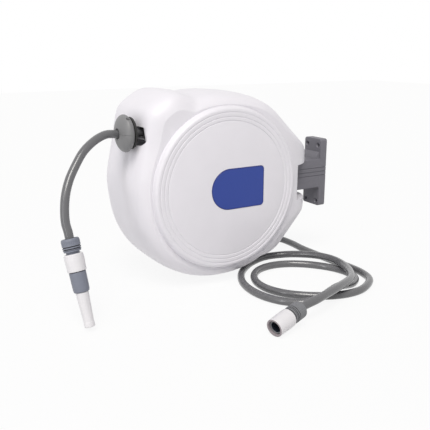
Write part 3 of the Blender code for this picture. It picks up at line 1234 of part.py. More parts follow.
def main():
    for old in list(bpy.data.objects):
        bpy.data.objects.remove(old, do_unlink=True)

    white = material("off_white_plastic", (0.78, 0.76, 0.79), 0.42)
    fitting_white = material("white_fitting", (0.82, 0.81, 0.82), 0.38)
    blue = material("blue_plate", (0.036, 0.072, 0.305), 0.35)
    bracket_grey = material("bracket_grey", (0.160, 0.156, 0.180), 0.50)
    grey = material("grey_plastic", (0.205, 0.205, 0.205), 0.45)
    nozzle_grey = material("nozzle_grey", (0.181, 0.195, 0.242), 0.45)
    pale = material("pale_grey_plastic", (0.50, 0.50, 0.50), 0.40)
    dark = material("dark_plastic", (0.04, 0.04, 0.045), 0.50)
    hose = material("hose_grey", (0.188, 0.188, 0.196), 0.30)
    rubber = material("black_rubber", (0.02, 0.02, 0.02), 0.70)
    steel = material("zinc_steel", (0.55, 0.55, 0.56), 0.35, 1.0)
    bronze = material("bronze_bush", (0.45, 0.30, 0.15), 0.40, 1.0)

    build_wall_bracket(bracket_grey)
    build_swivel(steel, bronze)

    swivel = empty("swivel_axis", (-PIN_TO_WALL, 0, 0))
    reel = empty("reel_axis", (-PIN_X, 0, AXIS_ABOVE_ARM), swivel)
    build_housing_shell(reel, white)
    build_front_cover(reel, white)
    build_badge(reel, blue)
    build_housing_screws(reel, steel)
    build_hose_guide(reel, steel, pale)
    build_axle(reel, steel, dark, rubber)
    elbow_end = build_inlet_elbow(reel, grey, steel)
    build_pawl(reel, dark, steel)
    build_inlet_hose(reel, hose, grey, fitting_white, rubber, elbow_end)

    drum = empty("drum_axis", (0, 0, 0), reel)
    build_drum(drum, grey, pale, dark, hose, bronze)

    pull = empty("hose_pull_axis", (0, LANE_Y, LANE_Z), reel)
    hose_end = empty("hose_end", (0, -LANE_Y, -LANE_Z), pull)
    middle = build_stopper(hose_end, grey, rubber, steel)
    lead = rod(HOSE_RADIUS, middle, 0, "X", TINY_STEPS, centre=(0, LANE_Y, LANE_Z))
    add("lead_hose", lead, hose, hose_end)
    build_outlet_hose(hose_end, hose, nozzle_grey, fitting_white, middle)

main()
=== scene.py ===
# %% [markdown]
# # A retractable garden hose reel
# The reel is a white drum-shaped housing that swings on a grey wall bracket. A short length of hose
# with its nozzle hangs from a slot at the left, and the supply hose lies in loose loops underneath.
#
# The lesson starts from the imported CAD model. It is loaded as a fixed frame, and each visible piece is
# then built again with the roundings, ribs and grooves that a faceted CAD solid leaves out. The box of
# the CAD model is kept, so that the size of the finished model can be compared with it.

# %% Load the frame
import math

import bmesh
import bpy
from mathutils import Matrix, Vector


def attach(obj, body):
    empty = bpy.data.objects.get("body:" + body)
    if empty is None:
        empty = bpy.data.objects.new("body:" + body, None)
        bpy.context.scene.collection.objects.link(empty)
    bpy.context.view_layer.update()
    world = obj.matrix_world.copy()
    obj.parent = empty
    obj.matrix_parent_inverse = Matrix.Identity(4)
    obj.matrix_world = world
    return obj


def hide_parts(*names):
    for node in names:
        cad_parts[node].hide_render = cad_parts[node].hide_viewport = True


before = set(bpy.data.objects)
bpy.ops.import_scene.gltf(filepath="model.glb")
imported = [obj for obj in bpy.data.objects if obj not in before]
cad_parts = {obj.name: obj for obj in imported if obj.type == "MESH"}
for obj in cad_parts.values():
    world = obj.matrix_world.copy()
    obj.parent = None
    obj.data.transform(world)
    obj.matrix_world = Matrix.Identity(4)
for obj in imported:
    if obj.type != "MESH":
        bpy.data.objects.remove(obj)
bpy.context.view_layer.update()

# %% [markdown]
# ## Camera
# The photograph looks down a little on the front cover from the left. A camera in Blender looks along
# its own minus Z, so the direction of view is turned into a rotation instead of typing three angles.

# %% Camera
CAMERA_PLACE = Vector((-0.9792, -1.1469, 0.2883))
CAMERA_DIRECTION = Vector((0.4978, 0.8274, -0.2600))
CAMERA_LENS = 52.33                          # millimetres
CAMERA_SENSOR = 36.0

eye = bpy.data.cameras.new("photo_camera")
eye.lens = CAMERA_LENS
eye.sensor_width = CAMERA_SENSOR
camera = bpy.data.objects.new("photo_camera", eye)
camera.location = CAMERA_PLACE
camera.rotation_euler = CAMERA_DIRECTION.to_track_quat("-Z", "Y").to_euler()
bpy.context.collection.objects.link(camera)
bpy.context.scene.camera = camera
bpy.context.scene.view_settings.view_transform = "Standard"
print("camera stands", round(CAMERA_PLACE.length, 3), "m from the wall plate")

# %% [markdown]
# ## Finishes: moulded plastic
# Every plastic piece comes out of a steel mould that was spark eroded, so its skin has a fine grain,
# and its colour and gloss wander a little where the melt flowed. An image could paint this, but it
# needs an unwrapped surface. Noise that is read from the object's own coordinates needs none, has no
# seams, and its size is given in millimetres. One noise moves the colour and the gloss slowly, and a
# second, fine one is used as height for the grain.

# %% Moulded plastic
FLOW_SCALE = 22.0                            # slow changes of colour and gloss
FLOW_DETAIL = 4.0
FLOW_FROM = 0.30
FLOW_TO = 0.70
SKIN_DETAIL = 2.0
GLOSS_DRIFT = 0.15
BUMP_STRENGTH = 0.6
COAT_ROUGHNESS = 0.12


def moulded(name, colour, gloss, grain=0.0009, height=0.00003, drift=0.012, coat=0.0):
    """A plastic of one colour: gloss is its roughness, grain the size of its texture in metres."""
    made = bpy.data.materials.new(name)
    made.use_nodes = True
    nodes, links = made.node_tree.nodes, made.node_tree.links
    shader = nodes["Principled BSDF"]
    shader.inputs["Coat Weight"].default_value = coat
    shader.inputs["Coat Roughness"].default_value = COAT_ROUGHNESS
    where = nodes.new("ShaderNodeTexCoord")

    flow = nodes.new("ShaderNodeTexNoise")
    flow.inputs["Scale"].default_value = FLOW_SCALE
    flow.inputs["Detail"].default_value = FLOW_DETAIL
    links.new(where.outputs["Object"], flow.inputs["Vector"])
    tone = nodes.new("ShaderNodeValToRGB")
    tone.color_ramp.elements[0].position = FLOW_FROM
    tone.color_ramp.elements[0].color = (*[c * (1 - drift) for c in colour], 1.0)
    tone.color_ramp.elements[1].position = FLOW_TO
    tone.color_ramp.elements[1].color = (*[min(1.0, c * (1 + drift)) for c in colour], 1.0)
    links.new(flow.outputs["Fac"], tone.inputs["Fac"])
    links.new(tone.outputs["Color"], shader.inputs["Base Color"])
    shine = nodes.new("ShaderNodeMapRange")
    shine.inputs["To Min"].default_value = gloss * (1 - GLOSS_DRIFT)
    shine.inputs["To Max"].default_value = gloss * (1 + GLOSS_DRIFT)
    links.new(flow.outputs["Fac"], shine.inputs["Value"])
    links.new(shine.outputs["Result"], shader.inputs["Roughness"])

    skin = nodes.new("ShaderNodeTexNoise")
    skin.inputs["Scale"].default_value = 1 / grain
    skin.inputs["Detail"].default_value = SKIN_DETAIL
    links.new(where.outputs["Object"], skin.inputs["Vector"])
    bump = nodes.new("ShaderNodeBump")
    bump.inputs["Strength"].default_value = BUMP_STRENGTH
    bump.inputs["Distance"].default_value = height
    links.new(skin.outputs["Fac"], bump.inputs["Height"])
    links.new(bump.outputs["Normal"], shader.inputs["Normal"])
    return made


print("slow changes of colour are about", round(1000 / FLOW_SCALE), "mm apart")

# %% [markdown]
# The reel needs a dozen plastics. The housing is a cool white and the fittings a greyer one, and there
# are several greys, for the nozzle is bluer than the bracket and the stopper is lighter. Each has its
# own material, so that its colour can be changed in one place.

# %% The reel's plastics
frame_finishes = len(bpy.data.materials)
housing_white = moulded("housing_white", (0.790, 0.772, 0.818), 0.42)
fitting_white = moulded("fitting_white", (0.735, 0.722, 0.745), 0.36, height=0.00001)
plate_blue = moulded("plate_blue", (0.018, 0.050, 0.300), 0.38, height=0.00001)
# a darker copy of the plate's blue, painted shade for its steep rim
plate_rim_shade_blue = moulded("plate_rim_shade_blue", (0.014, 0.032, 0.216), 0.34, height=0.00001)
bracket_grey = moulded("bracket_grey", (0.160, 0.156, 0.180), 0.50, grain=0.0013, height=0.00008)
stopper_grey = moulded("stopper_grey", (0.205, 0.205, 0.210), 0.46, height=0.00004)
fitting_grey = moulded("fitting_grey", (0.175, 0.178, 0.190), 0.44)
nozzle_grey = moulded("nozzle_grey", (0.181, 0.195, 0.242), 0.44)
collar_face_pink = moulded("collar_face_pink", (0.300, 0.262, 0.280), 0.50)
# near black, painted shade for the deep socket of the connectors
socket_painted_shade = moulded("socket_painted_shade", (0.018, 0.022, 0.036), 0.40)
pale_grey = moulded("pale_grey_plastic", (0.50, 0.50, 0.50), 0.40)
dark_plastic = moulded("dark_plastic", (0.040, 0.040, 0.045), 0.50)
print("moulded plastics:", len(bpy.data.materials) - frame_finishes)

# %% [markdown]
# ## Finishes: hose, rubber and metal
# The hose is soft PVC, extruded and glossy, with very faint marks from the die. The buffer on the
# stopper is dull black rubber. The screws and pins are zinc plated, which gives metal with a roughness
# that changes from spot to spot. They all use the same two noises, so the same helper makes them, and
# only what differs is set afterwards.

# %% Hose, rubber and metal
HOSE_GLOSS = 0.26
RUBBER_GLOSS = 0.66

hose_grey = moulded("hose_grey", (0.115, 0.115, 0.122), HOSE_GLOSS, grain=0.0035, height=0.00002, coat=0.45)
buffer_rubber = moulded("buffer_rubber", (0.016, 0.016, 0.016), RUBBER_GLOSS, grain=0.0007, height=0.00006)
zinc_steel = moulded("zinc_steel", (0.55, 0.55, 0.57), 0.36, grain=0.0006, height=0.00001, drift=0.10)
bronze = moulded("bronze_bush", (0.45, 0.30, 0.15), 0.42, grain=0.0006, height=0.00001, drift=0.10)
for metal in (zinc_steel, bronze):
    metal.node_tree.nodes["Principled BSDF"].inputs["Metallic"].default_value = 1.0
print("roughness of the hose", HOSE_GLOSS, "and of the rubber", RUBBER_GLOSS)

# %% [markdown]
# ## Rounded corners
# Most pieces of a hose reel are turned: nuts, collars, nozzle, cover and screws. Each is drawn as a
# half outline of radius and height. Real mouldings have no sharp edge, and a Bevel modifier would also
# round edges that should stay. So the corners are rounded in the outline, before it is swept.

# %% Rounded outline
ON_AXIS = 1e-7
NEARLY_STRAIGHT = -0.99                      # cosine between the two sides of a corner that hardly turns
LONGEST_CUT = 0.45                           # share of a side that one rounding may take


def softened(outline, size=0.0004, steps=3):
    """Rounds the corners of a closed outline and leaves corners that lie on the axis."""
    made = []
    for i, corner in enumerate(outline):
        here = Vector(corner)
        back = Vector(outline[i - 1]) - here
        ahead = Vector(outline[(i + 1) % len(outline)]) - here
        if corner[0] < ON_AXIS or back.normalized().dot(ahead.normalized()) < NEARLY_STRAIGHT:
            made.append(tuple(here))
            continue
        cut = min(size, LONGEST_CUT * back.length, LONGEST_CUT * ahead.length)
        first = here + back.normalized() * cut
        last = here + ahead.normalized() * cut
        for k in range(steps + 1):
            t = k / steps
            made.append(tuple(first.lerp(here, t).lerp(here.lerp(last, t), t)))
    return made


print("a softened square has", len(softened([(1, 0), (2, 0), (2, 1), (1, 1)])), "points")

# %% [markdown]
# ## Turned pieces
# The outline is swept round an axis. Blender's Screw modifier does that too, but a few lines of mesh
# code also allow ribs, by letting the radius change with the angle. A point on the axis would leave
# needle faces, so squares that touch it become triangles.

# %% Sweep
def along(place, direction):
    """The frame of a piece whose own Z points along a direction."""
    return Matrix.Translation(place) @ Vector(direction).to_track_quat("Z", "Y").to_matrix().to_4x4()


def turned(outline, where, steps=96, start=0.0, sweep=math.tau, shape=None, bm=None):
    """Sweeps a closed outline round its axis. shape(radius, height, angle) may change the radius."""
    bm = bm or bmesh.new()
    whole = sweep > math.tau - ON_AXIS
    rings = []
    for i in range(steps if whole else steps + 1):
        angle = start + sweep * i / steps
        ring = []
        for radius, height in outline:
            r = shape(radius, height, angle) if shape else radius
            ring.append(bm.verts.new(where @ Vector((r * math.cos(angle), r * math.sin(angle), height))))
        rings.append(ring)
    pairs = list(zip(rings, rings[1:] + rings[:1])) if whole else list(zip(rings, rings[1:]))
    for ring, following in pairs:
        for j in range(len(outline)):
            k = (j + 1) % len(outline)
            if outline[j][0] < ON_AXIS and outline[k][0] < ON_AXIS:
                continue
            corners = [ring[j], ring[k], following[k], following[j]]
            if outline[j][0] < ON_AXIS:
                corners.pop()
            elif outline[k][0] < ON_AXIS:
                corners.pop(2)
            bm.faces.new(corners)
    if not whole:
        bm.faces.new(rings[0])
        bm.faces.new(rings[-1])
    return bm


trial = turned([(1, 0), (2, 0), (2, 1), (1, 1)], Matrix.Identity(4))
print("a ring swept from a square has", len(trial.faces), "faces")
trial.free()

# %% [markdown]
# ## From mesh data to a piece
# Mesh data turns into a smooth object with sharp edges kept where the surface bends steeply.

# %% Pieces that ride on bodies
MERGE_WITHIN = 1e-6
CREASE = math.radians(35)                    # edges steeper than this stay sharp


def piece(name, bm, finish, body, replaces=()):
    """Turns mesh data into a smooth piece that rides on a body and stands for CAD nodes."""
    bmesh.ops.remove_doubles(bm, verts=bm.verts, dist=MERGE_WITHIN)
    bmesh.ops.recalc_face_normals(bm, faces=bm.faces)
    mesh = bpy.data.meshes.new(name)
    bm.to_mesh(mesh)
    bm.free()
    made = bpy.data.objects.new(name, mesh)
    bpy.context.collection.objects.link(made)
    mesh.materials.append(finish)
    mesh.shade_smooth()
    mesh.set_sharp_from_angle(angle=CREASE)
    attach(made, body)
    if replaces:
        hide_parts(*replaces)
    return made


# %% [markdown]
# ## Hoses as curves
# A hose bends evenly, so its middle line is one smooth curve through a few points of its run. Bezier
# handles would have to be set by hand at every point. Here the curve is worked out with centripetal
# Catmull-Rom blending, which passes through each point without overshooting, and is then divided into
# even steps. The curve object gets its round section from its bevel, so it stays editable.

# %% Smooth hose curve
HOSE_RADIUS = 0.008
BLEND_STEPS = 24
HOSE_ROUNDNESS = 6


def smooth_line(points, spacing):
    """Even points along a smooth line. Its first and last stretches stay straight."""
    route = [Vector(p) for p in points]
    ends = [2 * route[0] - route[1]] + route + [2 * route[-1] - route[-2]]
    fine = []
    for p0, p1, p2, p3 in zip(ends, ends[1:], ends[2:], ends[3:]):
        k1 = math.sqrt((p1 - p0).length)
        k2 = k1 + math.sqrt((p2 - p1).length)
        k3 = k2 + math.sqrt((p3 - p2).length)
        for i in range(BLEND_STEPS):
            s = k1 + (k2 - k1) * i / BLEND_STEPS
            a1 = p0.lerp(p1, s / k1)
            a2 = p1.lerp(p2, (s - k1) / (k2 - k1))
            a3 = p2.lerp(p3, (s - k2) / (k3 - k2))
            b1 = a1.lerp(a2, s / k2)
            b2 = a2.lerp(a3, (s - k1) / (k3 - k1))
            fine.append(b1.lerp(b2, (s - k1) / (k2 - k1)))
    fine = fine[BLEND_STEPS:1 - BLEND_STEPS]
    total = sum((q - p).length for p, q in zip(fine, fine[1:]))
    count = round(total / spacing)
    even, walked = [], 0.0
    for p, q in zip(fine, fine[1:]):
        step = (q - p).length
        while len(even) < count and walked + step >= len(even) * total / count:
            even.append(p.lerp(q, (len(even) * total / count - walked) / step))
        walked += step
    return [route[0]] + even + [fine[-1], route[-1]]


def hose(name, line, body, replaces):
    """A tube along a line of points."""
    curve = bpy.data.curves.new(name, "CURVE")
    curve.dimensions = "3D"
    curve.bevel_depth = HOSE_RADIUS
    curve.bevel_resolution = HOSE_ROUNDNESS
    curve.use_fill_caps = True
    spline = curve.splines.new("POLY")
    spline.points.add(len(line) - 1)
    for point, place in zip(spline.points, line):
        point.co = (*place, 1.0)
    spline.use_smooth = True
    made = bpy.data.objects.new(name, curve)
    curve.materials.append(hose_grey)
    bpy.context.collection.objects.link(made)
    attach(made, body)
    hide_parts(*replaces)
    length = sum((q - p).length for p, q in zip(line, line[1:]))
    print(name, "is", round(length, 3), "m long")
    return made, length


print("a hose is", 2000 * HOSE_RADIUS, "mm thick, with", BLEND_STEPS, "fine steps between given points")

# %% [markdown]
# ## The outlet hose
# It comes out of the stopper at the slot, is still stiff from the drum, and arcs over before the
# weight of the nozzle pulls it down. It is shown whole, so its length is the real one.

# %% Outlet hose
REEL = Vector((-0.309, 0.0, 0.006))          # drum axis, on the housing's mid plane
LANE = Vector((0.0, -0.033, 0.122))          # the hose's straight run inside, from the drum axis
STOPPER_MIDDLE = -0.2026                     # fullest section of the stopper, from the drum axis
SEAT_GAP = 0.0003                            # left between a piece and its seat
STIFF_END = 2 * HOSE_RADIUS                  # stretch at each end where the hose stays straight
OUTLET_STEP = 0.006

OUTLET_END = Vector((-0.6564, -0.1157, -0.0403))
OUTLET_LINE = Vector((0.082, -0.273, -0.959)).normalized()
OUTLET_ROUTE = [(-0.5480, -0.0360, 0.1292), (-0.5640, -0.0410, 0.1256), (-0.5830, -0.0480, 0.1170),
                (-0.6040, -0.0570, 0.1025), (-0.6230, -0.0680, 0.0815), (-0.6400, -0.0795, 0.0585),
                (-0.6515, -0.0900, 0.0340), (-0.6578, -0.0995, 0.0080), (-0.6592, -0.1060, -0.0130)]

outlet_start = REEL + LANE + Vector((STOPPER_MIDDLE - SEAT_GAP, 0, 0))
outlet_line = smooth_line([outlet_start, outlet_start + Vector((-STIFF_END, 0, 0)), *OUTLET_ROUTE,
                           OUTLET_END - OUTLET_LINE * STIFF_END, OUTLET_END - OUTLET_LINE * SEAT_GAP],
                          OUTLET_STEP)
outlet_hose, outlet_length = hose("outlet_hose_tube", outlet_line, "hose_end", ["outlet_hose"])

# %% [markdown]
# ## The supply hose
# It leaves the elbow behind the housing, drops to the ground, and lies in two loose loops in front of
# the wall bracket before it runs straight to its connector. A hose that lies on another is lifted by
# its own thickness, so the points of the upper strand are higher.

# %% Supply hose
LOOSE = -0.192                               # height of the hose's middle where it lies on the ground
SUPPLY_STEP = 0.008
SPOUT_TILT = math.radians(-48)
SPOUT_LENGTH = 0.0363
SUPPLY_OUT = Vector((math.cos(SPOUT_TILT), 0, math.sin(SPOUT_TILT)))
ELBOW_AT = REEL + Vector((0, 0.112, 0))
SUPPLY_START = ELBOW_AT + SUPPLY_OUT * SPOUT_LENGTH
SUPPLY_END = Vector((-0.3106, -0.3304, -0.1695))
SUPPLY_LINE = Vector((-0.946, -0.249, -0.179)).normalized()
SUPPLY_ROUTE = [(-0.2500, 0.113, -0.0600), (-0.2050, 0.118, -0.1100), (-0.1600, 0.127, -0.1560),
                (-0.1150, 0.136, -0.1850), (-0.0700, 0.129, LOOSE), (-0.0400, 0.096, LOOSE),
                (-0.0350, 0.046, LOOSE), (-0.0390, -0.002, LOOSE), (-0.0385, -0.055, LOOSE),
                (-0.0360, -0.110, LOOSE), (-0.0325, -0.160, LOOSE), (-0.0340, -0.203, LOOSE),
                (-0.0480, -0.240, LOOSE), (-0.0780, -0.264, LOOSE), (-0.1120, -0.2775, LOOSE),
                (-0.1450, -0.2785, LOOSE), (-0.1750, -0.271, LOOSE), (-0.2050, -0.256, LOOSE),
                (-0.2330, -0.234, LOOSE), (-0.2560, -0.205, LOOSE), (-0.2680, -0.170, LOOSE),
                (-0.2650, -0.130, LOOSE), (-0.2470, -0.095, LOOSE), (-0.2170, -0.071, LOOSE),
                (-0.1800, -0.063, LOOSE), (-0.1450, -0.070, LOOSE), (-0.1150, -0.088, LOOSE),
                (-0.0890, -0.115, LOOSE), (-0.0680, -0.150, LOOSE), (-0.0610, -0.187, LOOSE),
                (-0.0700, -0.220, LOOSE), (-0.0980, -0.243, -0.1905), (-0.1300, -0.257, -0.1835),
                (-0.1640, -0.270, -0.1752), (-0.1900, -0.279, -0.1752), (-0.2200, -0.283, -0.1820),
                (-0.2510, -0.272, -0.1900), (-0.2770, -0.246, LOOSE), (-0.2960, -0.208, LOOSE),
                (-0.3010, -0.166, LOOSE), (-0.2930, -0.122, LOOSE), (-0.2710, -0.080, LOOSE),
                (-0.2400, -0.047, LOOSE), (-0.2030, -0.025, -0.1900), (-0.1613, -0.018, -0.1870),
                (-0.1182, -0.037, -0.1830), (-0.0956, -0.065, -0.1785), (-0.0733, -0.100, -0.1755),
                (-0.0617, -0.139, -0.1750), (-0.0706, -0.189, -0.1745), (-0.1167, -0.256, -0.1690),
                (-0.1826, -0.295, -0.1620), (-0.2254, -0.312, -0.1608), (-0.2672, -0.3245, -0.1625)]

supply_line = smooth_line([SUPPLY_START, SUPPLY_START + SUPPLY_OUT * STIFF_END, *SUPPLY_ROUTE,
                           SUPPLY_END - SUPPLY_LINE * STIFF_END, SUPPLY_END - SUPPLY_LINE * SEAT_GAP],
                          SUPPLY_STEP)
supply_hose, supply_length = hose("supply_hose_tube", supply_line, "housing", ["inlet_hose"])

# %% [markdown]
# ## Hose fittings: the grip nut
# Each hose end has a grip nut that clamps the hose, a connector body, and a white collar that is
# pulled back to let go. The nut is ribbed for wet hands, and two rings are cut in it near the collar.
# The ribs are a cosine taken off the radius between two heights, so they need no cutting. The end of
# the nut is hollowed round the hose, which shows as a dark line. The rings are so narrow that light
# hardly reaches their floor, so faces deeper than the skin get the black rubber finish as painted shade.

# %% Grip nut
FITTING_BORE = 0.0060                        # inner radius of nut and connector, out of sight
NUT_RADIUS = 0.0165
NUT_RIBS = 30
NUT_STEPS = 8 * NUT_RIBS
RIB_DEPTH = 0.0005
RIB_FADE = 0.0008
RIBS_FROM = 0.0016
RIBS_TO = 0.0074                             # from the nut's end
RINGS_AT = (0.0058, 0.0018)                  # from the nut's end
RING_CUT = 0.0013
RING_WIDTH = 0.0019
RING_SLOPE = 0.0002
RING_SHADE_DEPTH = 0.0008                           # faces this far under the skin are painted dark as shade
NUT_EDGE = 0.0001
NUT_HOLLOW = [(FITTING_BORE, 0.0006), (0.0122, 0.0006), (0.0128, -0.0024), (0.0138, -0.0032),
              (0.0150, -0.0028), (0.0160, -0.0014), (NUT_RADIUS, 0.0010)]


def ribbed(low, high):
    """A radius that rises and falls round the nut between two heights."""
    def radius_at(radius, height, angle):
        if radius < NUT_RADIUS - RIB_DEPTH or not low < height < high:
            return radius
        return radius - RIB_DEPTH * (0.5 - 0.5 * math.cos(NUT_RIBS * angle))
    return radius_at


def ring_cut(height):
    """A ring cut in the nut's skin, its sides a little sloped."""
    floor = NUT_RADIUS - RING_CUT
    low, high = height - RING_WIDTH / 2, height + RING_WIDTH / 2
    return [(NUT_RADIUS, low), (floor, low + RING_SLOPE), (floor, high - RING_SLOPE), (NUT_RADIUS, high)]


def second_finish(made, finish, start, line, chosen):
    """Gives another finish to faces, chosen by their distance from the axis and along it."""
    made.data.materials.append(finish)
    for face in made.data.polygons:
        ahead = (face.center - start).dot(line)
        away = (face.center - start - line * ahead).length
        if chosen(away, ahead):
            face.material_index = 1


def grip_nut(name, start, line, length, finish, body, node):
    """A ribbed nut whose two rings have floors painted dark as shade, hollowed round the hose."""
    low, high = RIBS_FROM, length - RIBS_TO
    outline = NUT_HOLLOW + [(NUT_RADIUS, z) for z in (low, low + RIB_FADE, high - RIB_FADE, high)]
    for from_end in RINGS_AT:
        outline += ring_cut(length - from_end)
    outline += [(NUT_RADIUS, length), (FITTING_BORE, length)]
    bm = turned(softened(outline, RING_SLOPE), along(start, line), NUT_STEPS, shape=ribbed(low, high))
    made = piece(name, bm, finish, body, [node])

    def in_ring_shade(away, ahead):
        return away < NUT_RADIUS - RING_SHADE_DEPTH and high < ahead < length - NUT_EDGE

    # the faces deep in the two rings get the black rubber finish as painted shade
    second_finish(made, buffer_rubber, start, line, in_ring_shade)
    return made


print("each nut has", NUT_RIBS, "ribs and", len(RINGS_AT), "rings")

# %% [markdown]
# ## Hose fittings: connector and collar
# The connector is a plain barrel with a wide foot under the collar. Its bore is painted near black as
# shade, for a deep socket gets little light. The collar is white outside; its mouth and the first part
# of its bore are a dull pinkish grey, so one piece gets two finishes, chosen by how far a face is from the
# axis.

# %% Connector and collar
CONNECTOR_RADIUS = 0.0120
CONNECTOR_FOOT = 0.0155
FOOT_HEIGHT = 0.003
SOCKET_DEPTH = 0.016
SOCKET_RADIUS = 0.0097
SOCKET_SHADE_EDGE = 0.0100                         # faces nearer to the axis are painted dark as shade
SOCKET_LIP = 0.0104
COLLAR_RADIUS = 0.0175
COLLAR_AT = 0.007                            # from the connector's foot
COLLAR_PLAY = 0.0005
COLLAR_BACK_EDGE = 0.0016
COLLAR_BACK_SLOPE = 0.0012
COLLAR_FRONT_EDGE = 0.0012
COLLAR_ROUNDING = 0.0005
MOUTH_WIDER = 0.0008
MOUTH_EDGE = 0.0009                          # the rim outside this stays white
SOCKET_SLOPE = 0.001
SOCKET_STEP = 0.002
COLLAR_WAIST = 0.0005
COLLAR_WAIST_ENDS = 0.0010                   # this far behind the collar's front
COLLAR_SHOULDER = 0.0004
MOUTH_DEPTH = 0.0060


def connector(name, start, line, length, finish, body, node):
    """The barrel that the collar slides on, with a socket painted dark as shade."""
    outline = [(FITTING_BORE, 0), (CONNECTOR_FOOT, 0), (CONNECTOR_FOOT, FOOT_HEIGHT),
               (CONNECTOR_RADIUS, FOOT_HEIGHT), (CONNECTOR_RADIUS, length), (SOCKET_LIP, length),
               (SOCKET_RADIUS, length - SOCKET_SLOPE), (SOCKET_RADIUS, length - SOCKET_DEPTH),
               (FITTING_BORE, length - SOCKET_DEPTH - SOCKET_STEP)]
    made = piece(name, turned(softened(outline), along(start, line)), finish, body, [node])
    # the socket's faces are painted dark as shade
    second_finish(made, socket_painted_shade, start, line, lambda away, ahead: away < SOCKET_SHADE_EDGE)
    return made


def collar(name, start, line, length, body, node):
    """The white collar, slightly waisted for the fingers, with a pinkish grey mouth."""
    inner = CONNECTOR_RADIUS + COLLAR_PLAY
    shoulder = COLLAR_RADIUS - COLLAR_SHOULDER
    waist = COLLAR_RADIUS - COLLAR_WAIST
    outline = [(inner, 0), (COLLAR_RADIUS - COLLAR_BACK_EDGE, 0), (shoulder, COLLAR_BACK_SLOPE)]
    outline += [(radius, length * share) for radius, share in
                ((shoulder, 0.10), (COLLAR_RADIUS, 0.30), (COLLAR_RADIUS, 0.45), (waist, 0.74))]
    outline += [(waist, length - COLLAR_WAIST_ENDS), (COLLAR_RADIUS - COLLAR_FRONT_EDGE, length),
                (inner + MOUTH_WIDER, length), (inner, length - MOUTH_DEPTH)]
    bm = turned(softened(outline, COLLAR_ROUNDING), along(start, line))
    made = piece(name, bm, fitting_white, body, [node])

    def in_mouth(away, ahead):
        return away < COLLAR_RADIUS - MOUTH_EDGE and ahead > length - MOUTH_DEPTH

    second_finish(made, collar_face_pink, start, line, in_mouth)
    return made


def hose_fitting(prefix, start, line, nut_length, collar_length, finish, body):
    """Nut, connector and collar of one hose end; returns them, the collar's face and the socket's floor."""
    nut = grip_nut(prefix + "_grip_nut", start, line, nut_length, finish, body, prefix + "_nut")
    seat = start + line * (nut_length + SEAT_GAP)
    length = FOOT_HEIGHT + collar_length
    middle = connector(prefix + "_connector_body", seat, line, length, finish, body, prefix + "_connector")
    ring_at = seat + line * COLLAR_AT
    ring = collar(prefix + "_collar", ring_at, line, collar_length, prefix + "_sleeve", prefix + "_sleeve")
    face = ring_at + line * collar_length
    print(prefix, "fitting is", round((face - start).length * 1000, 1), "mm long")
    return [nut, middle, ring], face, seat + line * (length - SOCKET_DEPTH)


OUTLET_NUT_LENGTH = 0.0170
OUTLET_COLLAR_LENGTH = 0.0317
SUPPLY_NUT_LENGTH = 0.0230
SUPPLY_COLLAR_LENGTH = 0.0420
outlet_pieces, outlet_face, _ = hose_fitting("outlet", OUTLET_END, OUTLET_LINE, OUTLET_NUT_LENGTH,
                                             OUTLET_COLLAR_LENGTH, nozzle_grey, "hose_end")
supply_pieces, supply_face, socket_floor = hose_fitting("inlet", SUPPLY_END, SUPPLY_LINE, SUPPLY_NUT_LENGTH,
                                                        SUPPLY_COLLAR_LENGTH, fitting_grey, "housing")

# %% [markdown]
# The tap end of the supply connector seals with a rubber washer at the bottom of its socket. It is a
# plain ring, softened like the rest.

# %% Washer in the supply connector
WASHER_RADIUS = 0.0094
WASHER_TOP = 0.0025
WASHER_STEPS = 64

washer = softened([(FITTING_BORE, SEAT_GAP), (WASHER_RADIUS, SEAT_GAP), (WASHER_RADIUS, WASHER_TOP),
                   (FITTING_BORE, WASHER_TOP)])
washer_bm = turned(washer, along(socket_floor, SUPPLY_LINE), WASHER_STEPS)
supply_pieces.append(piece("supply_washer", washer_bm, buffer_rubber, "housing", ["inlet_seal"]))
print("washer lies", round((supply_face - socket_floor).length * 1000, 1), "mm inside the collar's face")

# %% [markdown]
# ## The nozzle
# A blue-grey body plugs into the outlet connector, and a white tip on it twists to change the jet.
# Both taper. The body has a soft rounded lower edge, and the tip ends in a small ring that stiffens
# the mouth. Shallow flutes on the tip give the fingers hold.

# %% Nozzle body and tip
NOZZLE_GAP = 0.0006
NOZZLE_LENGTH = 0.037
NOZZLE_BORE = 0.0042
PLUG_RADIUS = 0.0094
PLUG_LENGTH = 0.015
TIP_SEAT_RADIUS = 0.0092
TIP_SEAT_AT = 0.0307
NOZZLE_RING_BACK = -0.0034
NOZZLE_SKIN = [(0.0110, NOZZLE_RING_BACK), (0.0110, 0), (0.0140, 0), (0.0150, 0.0010), (0.0149, 0.012),
               (0.0147, 0.026), (0.0144, 0.0330), (0.0138, 0.0358), (0.0128, NOZZLE_LENGTH)]
NOZZLE_ROUNDING = 0.0008
TIP_LENGTH = 0.064
TIP_RADIUS = 0.0115
TIP_END_RADIUS = 0.0092
TIP_PLUG_RADIUS = 0.0090
TIP_PLUG_LENGTH = 0.006
TIP_ROUNDING = 0.0006
TAPER_FROM = 0.003
TAPER_LENGTH = 0.051
TAPER_STEPS = 12
TIP_RING = [(0.0096, 0.0556), (0.0096, 0.0630), (0.0086, TIP_LENGTH), (NOZZLE_BORE, TIP_LENGTH)]
FLUTES = 8
FLUTE_DEPTH = 0.00035
FLUTES_FROM = 0.004
FLUTES_LENGTH = 0.040
FLUTED_OVER = 0.0098                         # radius inside which the tip has no flutes

